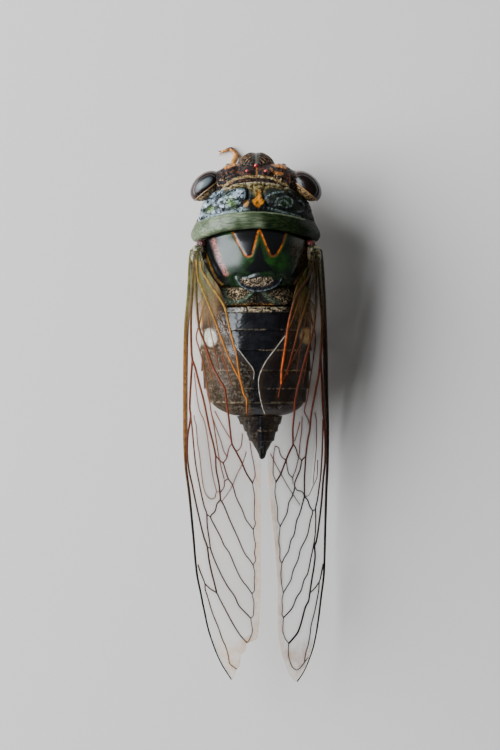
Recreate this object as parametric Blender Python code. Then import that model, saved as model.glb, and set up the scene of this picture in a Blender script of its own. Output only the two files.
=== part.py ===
"""A large dog-day cicada at rest, life size, as one still model.

Lengths in this file are millimetres, and each mesh is scaled to metres when it is made.
+Y points ahead of the insect, +X to its right and +Z up. The feet stand on z = 0.
The wings lie folded like a roof: each wing is a sheet bent round an arch that is a round
ellipse over the body and flatter sided, like a gable, behind it.
"""

import math

import bmesh
import bpy
import numpy as np
from mathutils import Matrix, Vector
from mathutils.geometry import delaunay_2d_cdt

MM = 0.001
GAP = 0.3                # clear space between two parts that touch on the living insect
CAST = 0.0               # growth of a body solid as a part, a cutter is grown by GAP

# Body rings
RING_SIDES = 28
RING_POWER = 2.15        # 2 is an ellipse, more is boxier
BOW_REACH = 6.0          # half width at which a ring's ends lie back by its whole bow
RING_STEP = 0.9          # between the rings of a body solid
TIP_RING_STEP = 0.6      # between those of the abdomen's tip
CUTTER_RING_STEP = 1.0   # between those of a grown body that only cuts

# Each row: y, middle x, half width, lowest z, widest z, highest z, bow of the ring
PRONOTUM_RINGS = [
    (23.25, 0.0, 4.6, 5.2, 7.4, 10.4, 2.1),
    (22.5, 0.0, 5.3, 4.6, 7.2, 10.95, 2.0),
    (21.3, 0.0, 5.75, 4.0, 7.0, 11.4, 1.5),
    (20.15, -0.05, 5.9, 3.6, 7.0, 11.75, 0.9),
    (20.0, -0.05, 6.1, 3.5, 7.0, 11.95, 0.9),
    (19.2, -0.05, 6.5, 3.4, 7.0, 12.15, 1.0),
    (18.56, -0.05, 6.15, 3.4, 7.0, 12.1, 1.15),
]
MESOTHORAX_RINGS = [
    (18.26, 0.05, 5.6, 3.3, 6.8, 11.9, 1.15),
    (17.0, 0.1, 5.65, 3.1, 6.6, 12.5, 0.9),
    (15.5, 0.1, 5.5, 3.0, 6.5, 12.75, 0.6),
    (14.0, 0.15, 5.3, 3.0, 6.4, 12.45, 0.3),
    (12.9, 0.2, 5.1, 3.1, 6.4, 11.6, 0.0),
]
METATHORAX_RINGS = [
    (12.6, 0.2, 5.0, 3.1, 6.3, 11.35, 0.0),
    (11.7, 0.15, 5.1, 3.1, 6.2, 10.95, 0.0),
    (10.95, 0.1, 5.15, 3.1, 6.1, 10.9, 0.0),
]
ABDOMEN_RINGS = [
    (10.65, 0.05, 5.25, 3.2, 6.1, 10.85, 0.0),
    (8.5, 0.0, 5.5, 3.1, 6.0, 10.95, 0.0),
    (6.4, -0.02, 5.55, 3.0, 5.95, 10.9, 0.0),
    (4.4, 0.0, 5.45, 3.0, 5.8, 10.7, 0.0),
    (2.6, 0.05, 5.2, 3.0, 5.6, 10.3, 0.0),
    (1.2, 0.15, 4.75, 3.1, 5.5, 9.8, 0.0),
    (0.5, 0.25, 4.1, 3.3, 5.5, 9.2, 0.0),
    (0.0, 0.3, 2.9, 3.7, 5.5, 8.4, 0.0),
]
ABDOMEN_TIP_RINGS = [
    (-0.3, 0.35, 2.35, 3.9, 5.6, 8.1, 0.0),
    (-1.4, 0.5, 1.75, 4.1, 5.6, 7.5, 0.0),
    (-2.8, 0.58, 1.1, 4.5, 5.5, 6.7, 0.0),
    (-3.7, 0.62, 0.5, 4.9, 5.4, 6.0, 0.0),
    (-4.4, 0.65, 0.25, 5.1, 5.35, 5.6, 0.0),
]
TERGITE_EDGES = [10.2, 8.44, 6.4, 4.4, 2.6, 1.23]   # y of each back plate's hind edge
TERGITE_STEP = 0.16                                 # how far an edge stands over the next plate
TERGITE_RISE = 0.7                                  # length over which a plate rises to its edge
TERGITE_FALL = 0.12                                 # length of the step down behind it

# The raised cross at the back of the mesothorax: the ends of its two bars, and their radius
CROSS_BARS = [((-1.9, 13.9, 11.8), (0.35, 13.3, 12.15), (1.5, 12.75, 11.75)),
              ((2.6, 13.8, 11.75), (0.35, 13.3, 12.15), (-0.8, 12.75, 11.75))]
CROSS_RADII = (0.2, 0.42, 0.3)

# Segments round each kind of ball
BALL_SIDES = {"head": 28, "face": 22, "ocellus": 8, "eye": 20, "head_cutter": 24, "operculum": 16,
              "wing_root": 12, "leg_joint": 10}

# Head
HEAD_CAPSULE = ((0.0, 23.1, 7.6), (5.0, 2.1, 2.9))         # middle, half sizes
FACE_BULGE = ((0.0, 24.2, 6.5), (2.15, 2.2, 2.9))
EYE_MIDDLE = (5.0, 22.85, 8.1)
EYE_HALF = (1.85, 1.25, 1.6)
EYE_TURN = 45.0                                            # degrees, long axis from back edge to front
OCELLI = [(-0.9, 24.2), (0.97, 24.2), (0.0, 24.85)]
OCELLUS_RADIUS = 0.32
OCELLUS_SINK = 0.1
FACE_TURN = 5.0          # degrees, so that the face's segments don't meet the capsule's edge on

# Wings
WING_THICKNESS = 0.5
HINDWING_DROP = 0.9      # how much smaller the arch of the hindwing is than the forewing's
ARCH_STEPS = 48          # samples along the arch when its length is measured
VEIN_STEP = 1.9          # spacing of points along a vein
EDGE_STEP = 1.9          # spacing of points round a wing
APEX_STEP = 1.3          # spacing of points round a forewing's apex
COSTA_ENDS = (16.6, -19.0)    # y of the forewing's front edge, from its root to the apex
HIND_ENDS = (-20.6, 16.6)     # y of its hind edge, from the apex to its root
HIND_ON_CREST = -5.0          # y behind which the hind edge lies on the crest
COSTA_INSIDE = 0.02           # of the front edge from the foot of the roof
MERGE = 0.1              # points nearer than this become one
RIM_INSET = 0.5          # a row of points this far within the rim keeps its triangles broad
RIM_CLEAR = 0.3          # no vein point lies nearer the rim
SLIVER = 0.03            # a triangle on the rim lower than this is left out
FOOT_CLEAR = 0.7         # share of its half width that a vein's foot keeps from other veins

# Roof of each side, back from the wing root: y, costa x, crest x, costa z, crest z
LEFT_ROOF = [
    (16.8, -6.3, 0.3, 8.7, 11.6),
    (15.4, -6.5, 0.3, 8.2, 12.0),
    (12.0, -6.7, 0.3, 7.0, 12.4),
    (9.0, -7.0, 0.3, 5.9, 12.6),
    (6.0, -7.12, 0.3, 4.6, 12.65),
    (2.0, -7.18, 0.3, 3.0, 12.5),
    (-2.0, -7.19, 0.4, 2.2, 12.2),
    (-5.0, -7.07, 0.45, 2.0, 11.9),
    (-8.0, -6.7, 0.45, 1.9, 11.6),
    (-12.0, -6.3, 0.45, 1.9, 11.1),
    (-16.0, -5.92, 0.45, 2.2, 10.2),
    (-18.6, -5.4, 0.4, 2.7, 9.4),
    (-22.0, -4.75, 0.3, 3.6, 8.3),
    (-27.0, -3.9, 0.3, 5.2, 6.8),
]
RIGHT_ROOF = [
    (16.8, 6.3, 0.1, 8.7, 11.6),
    (15.4, 6.5, 0.1, 8.2, 12.0),
    (12.0, 6.75, 0.1, 7.0, 12.4),
    (9.0, 6.9, 0.1, 5.9, 12.6),
    (6.0, 7.02, 0.1, 4.6, 12.65),
    (2.0, 7.12, 0.35, 3.0, 12.5),
    (-2.0, 7.23, 0.9, 2.2, 12.2),
    (-5.0, 7.2, 1.15, 2.0, 12.0),
    (-8.0, 7.07, 1.35, 1.9, 11.8),
    (-12.0, 6.95, 1.75, 1.9, 11.3),
    (-16.0, 6.82, 2.1, 2.2, 10.4),
    (-18.6, 6.5, 2.15, 2.7, 9.6),
    (-22.0, 6.05, 2.2, 3.6, 8.5),
    (-27.0, 5.35, 2.2, 5.2, 6.8),
]

# Flatness of the arch at each y: 0 is an ellipse, 1 a straight slope
ROOF_FLATNESS = [(16.8, 0.0), (2.0, 0.0), (-2.0, 0.1), (-5.0, 0.22), (-9.0, 0.36), (-20.0, 0.45),
                 (-27.0, 0.4)]

# Inner edge of each forewing from its root to the crest: y, x
LEFT_EDGE = [
    (16.8, -5.6), (15.5, -5.25), (13.9, -4.45), (12.7, -3.65), (10.3, -2.75), (8.0, -2.3),
    (6.0, -1.8), (3.4, -1.25), (1.7, -0.75), (0.1, -0.2), (-1.5, 0.2), (-5.0, 0.45),
]
RIGHT_EDGE = [
    (16.8, 5.7), (15.7, 5.4), (14.0, 4.65), (12.8, 4.0), (10.5, 3.4), (8.0, 2.85),
    (5.4, 2.45), (3.1, 2.2), (1.8, 1.9), (0.0, 1.5), (-2.5, 1.2), (-5.0, 1.15),
]

# Apex of the forewing beyond the straight part of its edges, on the left wing: x, y
APEX = [(-5.1, -20.0), (-4.7, -21.7), (-4.2, -23.4), (-3.5, -25.1), (-2.5, -26.8),
        (-1.7, -26.6), (-0.8, -25.4), (-0.2, -23.7), (0.2, -21.9)]
TORN_APEX = [(-5.1, -20.0), (-4.7, -21.7), (-4.15, -23.3), (-3.4, -25.0), (-2.45, -26.6),
             (-1.95, -26.1), (-1.4, -24.5), (-0.95, -23.1), (0.05, -22.5)]

# Forewing veins by name, seen from above on the left wing: x, y from root to tip
FOREWING_VEINS = {
    "radius": [(-6.1, 16.2), (-6.3, 13.0), (-6.55, 9.0), (-6.4, 6.0), (-6.36, 5.5), (-6.55, 3.0),
               (-6.57, 0.0)],
    "radius_front": [(-6.57, 0.0), (-6.85, -2.1), (-6.95, -3.7), (-6.8, -5.3), (-6.4, -7.3),
                     (-6.0, -9.7), (-5.45, -12.0), (-4.92, -13.3), (-4.7, -15.3), (-3.96, -17.95)],
    "radius_back": [(-6.57, 0.0), (-6.2, -3.0), (-5.1, -10.0), (-4.6, -13.3), (-3.55, -16.0),
                    (-1.6, -19.2), (-0.5, -20.3)],
    "media": [(-6.36, 5.5), (-5.8, 3.5), (-4.7, -1.0), (-4.02, -4.0)],
    "media_low": [(-4.02, -4.0), (-3.8, -6.5), (-3.55, -7.66), (-3.55, -8.45)],
    "media_first": [(-3.55, -8.45), (-4.55, -10.25), (-3.7, -12.0), (-2.2, -15.2), (-0.4, -17.8)],
    "media_second": [(-3.55, -8.45), (-1.8, -12.2), (-0.27, -14.9)],
    "media_third": [(-4.02, -4.0), (-3.27, -4.76), (-2.76, -6.3), (-1.95, -8.1), (-0.27, -11.3)],
    "cross_low": [(-2.76, -6.3), (-3.15, -6.8), (-3.55, -7.66)],
    "cross_up": [(-3.27, -4.76), (-2.9, -4.0), (-2.38, -2.75)],
    "cross_far": [(-5.1, -10.0), (-4.55, -10.25)],
    "cubitus": [(-6.0, 15.5), (-5.95, 12.0), (-5.7, 9.0), (-5.05, 7.0), (-4.3, 4.9), (-3.05, 2.4),
                (-2.95, 1.5), (-2.38, -2.75), (-1.98, -3.56), (-0.33, -6.74)],
    "cubitus_hind": [(-1.98, -3.56), (-1.35, -1.8)],
    "claval_fold": [(-5.9, 14.5), (-5.4, 12.7), (-4.6, 10.8), (-2.9, 6.2), (-1.5, 3.3), (-0.9, 0.4)],
    "anal": [(-5.4, 14.5), (-4.4, 12.7), (-3.5, 11.4), (-2.9, 9.8), (-2.1, 6.5), (-1.6, 3.4)],
    "apical": [(-5.7, -15.4), (-5.16, -17.2), (-4.9, -18.4), (-4.0, -21.6), (-2.9, -24.5)],
    "apical_cross": [(-5.16, -17.2), (-3.96, -17.95)],
    "apical_hind": [(-3.96, -17.95), (-2.7, -20.4), (-0.9, -22.7)],
    "ambient": [(-0.6, -2.6), (-0.33, -6.74), (-0.27, -11.3), (-0.27, -14.9), (-0.4, -17.8),
                (-0.5, -20.3), (-0.9, -22.7)],
}
FOREWING_VEIN = (0.24, 0.2)      # half width, height
COSTA_VEIN = (0.42, 0.25)
COSTA_INSET = 0.4                # of the costa's ridge from the wing's outer edge

# Hindwing, seen from above on the left side: x, y
HINDWING_OUTLINE = [
    (-4.9, 12.3), (-6.3, 10.5), (-6.4, 8.0), (-6.5, 4.0), (-6.5, 0.5), (-6.4, -2.0),
    (-5.75, -4.5), (-5.5, -6.8), (-5.1, -8.5), (-4.4, -9.3), (-3.5, -8.9), (-2.3, -7.3),
    (-1.6, -5.8), (-1.0, -3.7), (-0.7, -1.0), (-0.5, 1.5), (-0.15, 3.6), (-0.5, 4.8),
    (-1.5, 6.2), (-2.4, 7.4), (-3.1, 9.0), (-3.5, 10.8), (-3.9, 12.0),
]
HINDWING_VEINS = {
    "radius": [(-5.2, 11.0), (-5.6, 8.0), (-5.3, 4.5), (-5.0, 3.2), (-4.4, 0.1), (-4.26, -0.7),
               (-3.96, -2.6), (-3.18, -6.4)],
    "costa": [(-5.75, 4.2), (-5.8, 0.0), (-5.6, -2.0), (-5.4, -4.5), (-5.2, -6.8), (-4.8, -8.2),
              (-4.3, -8.6), (-3.9, -7.75)],
    "media": [(-5.3, 4.5), (-5.1, 1.0), (-5.0, -0.8), (-4.8, -3.2), (-4.3, -6.2), (-3.9, -7.75)],
    "cubitus": [(-4.4, 0.1), (-3.3, -1.4), (-2.5, -2.4), (-1.9, -4.4)],
    "anal": [(-4.4, 11.0), (-3.9, 8.0), (-2.9, 5.0), (-2.0, 2.2), (-1.4, 0.5)],
}
HINDWING_VEIN = (0.22, 0.12)
HINDWING_COSTA = 0.5             # the front edge's distance up the arch from the forewing's costa

FOREWING_ROOT = ((5.75, 16.3, 9.3), (0.85, 1.25, 0.62))      # middle, half sizes
HINDWING_ROOT = ((4.75, 12.0, 8.85), (0.75, 0.9, 0.5))

# Legs, on the left side: where the hip starts and each joint after it, with radii
FORELEG_HIP = (-2.2, 19.6, 4.2)
FORELEG_REACHING = [(-2.5, 20.2, 2.3), (-4.3, 22.7, 2.5), (-2.4, 25.5, 1.15), (-2.0, 26.5, 0.3),
                    (-2.6, 27.2, 0.18), (-3.5, 26.9, 0.18)]
FORELEG_TUCKED = [(-2.5, 20.2, 2.3), (-4.8, 22.4, 2.5), (-4.2, 24.6, 1.2), (-3.4, 24.7, 0.3),
                  (-2.7, 24.2, 0.18), (-2.1, 23.5, 0.18)]
MIDLEG_HIP = (-2.3, 15.6, 4.0)
MIDLEG = [(-2.5, 15.0, 2.2), (-5.0, 13.4, 2.3), (-5.4, 9.6, 1.2), (-5.2, 8.2, 0.3),
          (-4.9, 7.2, 0.18), (-4.6, 6.3, 0.18)]
HINDLEG_HIP = (-2.2, 12.2, 4.0)
HINDLEG = [(-2.3, 11.6, 2.1), (-4.4, 7.8, 2.1), (-4.0, 4.2, 1.2), (-3.8, 2.8, 0.3),
           (-3.6, 1.8, 0.18), (-3.4, 0.9, 0.18)]
HIP_RADII = (0.95, 0.57)
THIGH_RADIUS = {"foreleg": 0.8, "midleg": 0.52, "hindleg": 0.52}
THIGH_TAPER = (0.75, 1.0, 0.7)            # shares of the thigh's radius along it
KNEE_SHARES = np.array([0.9, 0.85])       # the joints at its two ends, as shares of that radius
KNEE_TURN = 9.0                           # degrees, so that no edge of a joint lies along a tube's
SHIN_RADII = (0.374, 0.306, 0.289)
FOOT_RADII = (0.3, 0.3, 0.2)
HEEL_RADIUS = 0.36
FLOOR_CUTTER = 100.0                      # side of the cube that cuts the feet flat

ROSTRUM = [((0.0, 23.6, 3.9), 0.75), ((0.0, 22.3, 2.9), 0.55), ((0.0, 20.0, 2.3), 0.45),
           ((0.0, 17.5, 1.9), 0.36), ((0.0, 15.8, 1.7), 0.2)]
ANTENNA = [((2.5, 24.6, 7.3), 0.3), ((2.7, 25.0, 6.9), 0.28), ((2.9, 25.15, 6.2), 0.25),
           ((3.0, 25.2, 5.4), 0.2), ((3.05, 25.15, 4.7), 0.12)]
OPERCULUM = ((2.5, 9.3, 2.9), (2.1, 1.7, 0.35))

COLOURS = {               # red, green, blue, roughness
    "head": (0.05, 0.045, 0.02, 0.35),
    "eye": (0.05, 0.02, 0.015, 0.15),
    "antenna": (0.05, 0.03, 0.02, 0.4),
    "rostrum": (0.2, 0.1, 0.03, 0.4),
    "pronotum": (0.1, 0.12, 0.05, 0.4),
    "mesothorax": (0.02, 0.025, 0.015, 0.2),
    "metathorax": (0.15, 0.13, 0.08, 0.5),
    "abdomen": (0.03, 0.025, 0.02, 0.35),
    "operculum": (0.2, 0.14, 0.07, 0.5),
    "forewing": (0.35, 0.2, 0.08, 0.3),
    "hindwing": (0.4, 0.25, 0.12, 0.3),
    "leg": (0.3, 0.13, 0.03, 0.4),
}


def material(kind):
    """The Principled material of one kind of part, made once."""
    found = bpy.data.materials.get(kind)
    if found:
        return found
    made = bpy.data.materials.new(kind)
    made.use_nodes = True
    red, green, blue, roughness = COLOURS[kind]
    shader = made.node_tree.nodes["Principled BSDF"]
    shader.inputs["Base Color"].default_value = (red, green, blue, 1.0)
    shader.inputs["Roughness"].default_value = roughness
    shader.inputs["Metallic"].default_value = 0.0
    return made


def add_mesh(name, points, faces, kind, collection):
    """A mesh object from points in millimetres, with its faces turned outwards."""
    mesh = bpy.data.meshes.new(name)
    mesh.from_pydata((np.asarray(points) * MM).tolist(), [], faces)
    work = bmesh.new()
    work.from_mesh(mesh)
    bmesh.ops.recalc_face_normals(work, faces=work.faces)
    work.to_mesh(mesh)
    work.free()
    return add_object(name, mesh, kind, collection)


def add_object(name, mesh, kind, collection):
    piece = bpy.data.objects.new(name, mesh)
    mesh.materials.clear()
    mesh.materials.append(material(kind))
    mesh.shade_smooth()
    mesh.set_sharp_from_angle(angle=math.radians(40))
    collection.objects.link(piece)
    return piece


def through(stations, at):
    """The columns after the first of `stations`, at positions `at`, by monotone cubic steps."""
    table = np.array(stations, float)
    table = table[np.argsort(table[:, 0], kind="stable")]
    place, value = table[:, 0], table[:, 1:]
    step = np.diff(place)[:, None]
    secant = np.diff(value, axis=0) / step
    rising = secant[:-1] * secant[1:] > 0
    both = np.where(rising, secant[:-1] + secant[1:], 1.0)
    inner = np.where(rising, 2 * secant[:-1] * secant[1:] / both, 0.0)
    slope = np.vstack([secant[:1], inner, secant[-1:]])
    at = np.clip(np.atleast_1d(np.asarray(at, float)), place[0], place[-1])
    left = np.clip(np.searchsorted(place, at) - 1, 0, len(place) - 2)
    part = ((at - place[left]) / step[left, 0])[:, None]
    start = value[left] * (1 + 2 * part) + slope[left] * step[left] * part
    end = value[left + 1] * (3 - 2 * part) + slope[left + 1] * step[left] * (part - 1)
    return start * (1 - part) ** 2 + end * part**2


def curve_points(knots, spacing):
    """A smooth curve through the knots, as the knots and points about `spacing` apart between."""
    knots = np.array(knots, float)
    length = np.append(0.0, np.cumsum(np.linalg.norm(np.diff(knots, axis=0), axis=1)))
    places = [length[0]]
    for start, end in zip(length[:-1], length[1:]):
        count = max(int(round((end - start) / spacing)), 1)
        places += list(np.linspace(start, end, count + 1)[1:])
    return through(np.column_stack([length, knots]), places)


# Body solids

def body_ring(y, row, grow, share=1.0):
    """One closed ring round the body at y: an ellipse-like curve with a taller or flatter
    upper half, its sides lying back by the bow. `share` shrinks it towards its middle."""
    middle_x, half_width, low, middle, high, bow = row
    angle = np.arange(RING_SIDES) * 2 * np.pi / RING_SIDES
    across, up = np.cos(angle), np.sin(angle)
    across = np.sign(across) * np.abs(across) ** (2 / RING_POWER)
    up = np.sign(up) * np.abs(up) ** (2 / RING_POWER)
    x = share * (half_width + grow) * across
    reach = np.where(up > 0, high - middle + grow, middle - low + grow)
    back = bow * (x / BOW_REACH) ** 2
    return np.column_stack([middle_x + x, y - back, middle + share * reach * up])


def body_part(name, stations, places, kind, collection, grow=CAST):
    """A closed body solid lofted through rings at `places`, front to back, with bowed ends."""
    rows = through(stations, places)
    rings = [body_ring(places[0] + grow, rows[0], grow, 0.5)]
    for index, place in enumerate(places):
        shift = grow if index == 0 else -grow if index == len(places) - 1 else 0.0
        rings.append(body_ring(place + shift, rows[index], grow))
    rings.append(body_ring(places[-1] - grow, rows[-1], grow, 0.5))
    points = np.vstack(rings)
    ends = [(rows[0][0], places[0] + grow, rows[0][3]), (rows[-1][0], places[-1] - grow, rows[-1][3])]
    points = np.vstack([points, ends])
    faces = []
    for ring in range(len(rings) - 1):
        for side in range(RING_SIDES):
            following = (side + 1) % RING_SIDES
            first, second = ring * RING_SIDES, (ring + 1) * RING_SIDES
            faces.append((first + side, first + following, second + following, second + side))
    last = (len(rings) - 1) * RING_SIDES
    for side in range(RING_SIDES):
        following = (side + 1) % RING_SIDES
        faces.append((len(points) - 2, following, side))
        faces.append((len(points) - 1, last + side, last + following))
    return add_mesh(name, points, faces, kind, collection)


def plain_places(stations, spacing):
    """Ring places from the first station to the last, about `spacing` apart."""
    first, last = stations[0][0], stations[-1][0]
    return np.linspace(first, last, int(round((first - last) / spacing)) + 1)


def tergite_stations():
    """The abdomen's stations with a small step down behind each back plate."""
    ends = ABDOMEN_RINGS[0][0], ABDOMEN_RINGS[-1][0]
    places = [ends[0]]
    lift = [0.0]
    for edge in TERGITE_EDGES:
        places += [edge + TERGITE_RISE, edge, edge - TERGITE_FALL]
        lift += [TERGITE_STEP * 0.5, TERGITE_STEP, 0.0]
    places.append(ends[1])
    lift.append(TERGITE_STEP)
    rows = through(ABDOMEN_RINGS, places)
    lift = np.array(lift) - TERGITE_STEP
    rows[:, 1] += lift
    rows[:, 2] -= lift * 0.5
    rows[:, 4] += lift
    return [(place, *row) for place, row in zip(places, rows)], np.array(places)


# Pieces joined or cut by Booleans

def ball(middle, half, collection, sides, turn=0.0):
    """An ellipsoid, its long axes turned by `turn` degrees about the vertical."""
    mesh = bpy.data.meshes.new("ball")
    work = bmesh.new()
    place = Matrix.Translation(Vector(middle) * MM) @ Matrix.Rotation(math.radians(turn), 4, "Z")
    size = Matrix.Diagonal((half[0] * MM, half[1] * MM, half[2] * MM, 1.0))
    bmesh.ops.create_uvsphere(
        work, u_segments=sides, v_segments=sides * 2 // 3, radius=1.0, matrix=place @ size
    )
    work.to_mesh(mesh)
    work.free()
    piece = bpy.data.objects.new("ball", mesh)
    collection.objects.link(piece)
    return piece


def tube(points, radii, collection, resolution=2):
    """A tapering tube along straight or curved points, made closed."""
    curve = bpy.data.curves.new("tube", "CURVE")
    curve.dimensions = "3D"
    curve.bevel_depth = MM
    curve.bevel_resolution = resolution
    curve.use_fill_caps = True
    spline = curve.splines.new("POLY")
    spline.points.add(len(points) - 1)
    for knot, point, radius in zip(spline.points, points, radii):
        knot.co = (*(Vector(point) * MM), 1.0)
        knot.radius = radius
    guide = bpy.data.objects.new("tube", curve)
    bpy.context.scene.collection.objects.link(guide)
    mesh = evaluated_mesh(guide)
    work = bmesh.new()
    work.from_mesh(mesh)
    bmesh.ops.remove_doubles(work, verts=work.verts, dist=0.01 * MM)
    bmesh.ops.recalc_face_normals(work, faces=work.faces)
    work.to_mesh(mesh)
    work.free()
    piece = bpy.data.objects.new("tube", mesh)
    collection.objects.link(piece)
    bpy.data.objects.remove(guide)
    bpy.data.curves.remove(curve)
    return piece


def evaluated_mesh(piece):
    depsgraph = bpy.context.evaluated_depsgraph_get()
    depsgraph.update()
    return bpy.data.meshes.new_from_object(piece.evaluated_get(depsgraph))


def keep_largest(mesh):
    """Leaves only the closed surface with the most room inside."""
    work = bmesh.new()
    work.from_mesh(mesh)
    bmesh.ops.remove_doubles(work, verts=work.verts, dist=0.01 * MM)
    bmesh.ops.triangulate(work, faces=work.faces)
    unseen = set(work.verts)
    groups = []
    while unseen:
        start = unseen.pop()
        group = {start}
        waiting = [start]
        while waiting:
            vertex = waiting.pop()
            for link in vertex.link_edges:
                other = link.other_vert(vertex)
                if other in unseen:
                    unseen.discard(other)
                    group.add(other)
                    waiting.append(other)
        groups.append(group)
    largest = max(groups, key=room_inside)
    bmesh.ops.delete(work, geom=[v for v in work.verts if v not in largest], context="VERTS")
    work.to_mesh(mesh)
    work.free()


def room_inside(group):
    """Volume inside the triangles that these vertices span."""
    total = 0.0
    for face in {face for vertex in group for face in vertex.link_faces}:
        one, two, three = (loop.vert.co for loop in face.loops)
        total += one.dot(two.cross(three)) / 6
    return abs(total)


def boolean(piece, others, operation):
    """Applies one Boolean with a collection of closed objects, which is then removed."""
    change = piece.modifiers.new(operation.lower(), "BOOLEAN")
    change.operation = operation
    change.operand_type = "COLLECTION"
    change.collection = others
    change.solver = "EXACT"
    mesh = evaluated_mesh(piece)
    piece.modifiers.clear()
    keep_largest(mesh)
    old = piece.data
    piece.data = mesh
    bpy.data.meshes.remove(old)
    for other in list(others.objects):
        bpy.data.objects.remove(other)
    bpy.data.collections.remove(others)
    return piece


def hidden_collection(name):
    made = bpy.data.collections.new(name)
    bpy.context.scene.collection.children.link(made)
    return made


def node(name, kind, parts, joined, cutters=None):
    """One node: the first object of `joined` united with the rest, then cut by `cutters`."""
    first = joined.objects[0]
    joined.objects.unlink(first)
    parts.objects.link(first)
    if joined.objects:
        boolean(first, joined, "UNION")
    else:
        bpy.data.collections.remove(joined)
    if cutters:
        for cutter in cutters.objects:
            cutter.hide_render = True
            cutter.display_type = "WIRE"
        boolean(first, cutters, "DIFFERENCE")
    first.name = name
    first.data.name = name
    first.data.materials.clear()
    first.data.materials.append(material(kind))
    first.data.shade_smooth()
    first.data.set_sharp_from_angle(angle=math.radians(40))
    return first


def grown_body(collection, *names):
    """Body solids grown by GAP, as cutters that leave the clear space."""
    for name in names:
        stations = BODY[name]
        places = plain_places(stations, CUTTER_RING_STEP)
        body_part(f"grown_{name}", stations, places, "head", collection, GAP)


# Wings

def arch(roof, y):
    """At each y: crest x, costa z, the arch's half span, which is negative on the left side,
    its rise from costa to crest, and its flatness."""
    costa_x, crest_x, costa_z, crest_z = through(roof, y).T
    return crest_x, costa_z, costa_x - crest_x, crest_z - costa_z, through(ROOF_FLATNESS, y)[:, 0]


def shrink(arches, drop):
    """The same arches with both half axes shorter by `drop`."""
    crest_x, costa_z, span, rise, flatness = arches
    return crest_x, costa_z, span - np.sign(span) * drop, rise - drop, flatness


def arch_shares(flatness, angle):
    """Shares of the half span and of the rise at an angle: a quarter of an ellipse, drawn
    towards the straight line between its ends by the flatness."""
    straight = angle / (np.pi / 2)
    across = (1 - flatness) * np.cos(angle) + flatness * (1 - straight)
    return across, (1 - flatness) * np.sin(angle) + flatness * straight


def arch_tables(arches):
    """Angles from the costa to the crest, and for each arch its share of the half span and
    the length along it at each angle."""
    _, _, span, rise, flatness = arches
    angle = np.linspace(0.0, np.pi / 2, ARCH_STEPS)
    across, up = arch_shares(flatness[:, None], angle)
    steps = np.hypot(span[:, None] * np.diff(across, axis=1), rise[:, None] * np.diff(up, axis=1))
    return angle, across, np.column_stack([np.zeros(len(span)), np.cumsum(steps, axis=1)])


def laid_out(roof, drop, points):
    """Points seen from above, x and y, as distance along the arch from the costa, and y.
    Past the crest the sheet goes on level."""
    points = np.array(points, float)
    arches = shrink(arch(roof, points[:, 1]), drop)
    _, across, length = arch_tables(arches)
    crest_x, _, span, *_ = arches
    share = (points[:, 0] - crest_x) / span
    past = np.maximum(-share, 0.0) * np.abs(span)
    along = [np.interp(-one, -row, far) for one, row, far in zip(share, across, length)]
    return np.column_stack([np.array(along) + past, points[:, 1]])


def folded(roof, drop, points):
    """Points laid out flat put back on the arch: x, y and z."""
    arches = shrink(arch(roof, points[:, 1]), drop)
    angle, _, length = arch_tables(arches)
    crest_x, costa_z, span, rise, flatness = arches
    turned = np.array([np.interp(one, row, angle) for one, row in zip(points[:, 0], length)])
    past = np.maximum(points[:, 0] - length[:, -1], 0.0)
    across, up = arch_shares(flatness, turned)
    x = crest_x + span * across - np.sign(span) * past
    return np.column_stack([x, points[:, 1], costa_z + rise * up])


def carried_over(points, from_roof, to_roof, drop, from_edge=None, to_edge=None):
    """Points laid out on one side's wing, moved to the other side's by their share of the
    way from the costa to the inner edge, or to the crest where no edge is given."""
    def whole(roof, edge):
        if edge is None:
            return arch_tables(shrink(arch(roof, points[:, 1]), drop))[2][:, -1]
        rows = np.column_stack([through(edge, points[:, 1])[:, 0], points[:, 1]])
        return laid_out(roof, drop, rows)[:, 0]
    scale = whole(to_roof, to_edge) / whole(from_roof, from_edge)
    return np.column_stack([points[:, 0] * scale, points[:, 1]])


def nearest(points, lines):
    """Distance from each point to the nearest of the poly lines."""
    best = np.full(len(points), np.inf)
    for line in lines:
        for start, end in zip(line[:-1], line[1:]):
            way = end - start
            share = np.clip((points - start) @ way / (way @ way), 0.0, 1.0)
            gap = np.linalg.norm(points - start - share[:, None] * way, axis=1)
            best = np.minimum(best, gap)
    return best


def beside(line, distance):
    """The line moved sideways by a distance."""
    way = np.gradient(line, axis=0)
    way /= np.linalg.norm(way, axis=1)[:, None]
    return line + distance * np.column_stack([-way[:, 1], way[:, 0]])


def inside(points, outline):
    """True for each point within the closed outline."""
    x, y = points[:, :1], points[:, 1:]
    start, end = outline, np.roll(outline, -1, axis=0)
    spans = (start[:, 1] > y) != (end[:, 1] > y)
    rise = np.where(end[:, 1] == start[:, 1], 1.0, end[:, 1] - start[:, 1])
    crossing = start[:, 0] + (y - start[:, 1]) * (end[:, 0] - start[:, 0]) / rise
    return (spans & (x < crossing)).sum(axis=1) % 2 == 1


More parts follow.
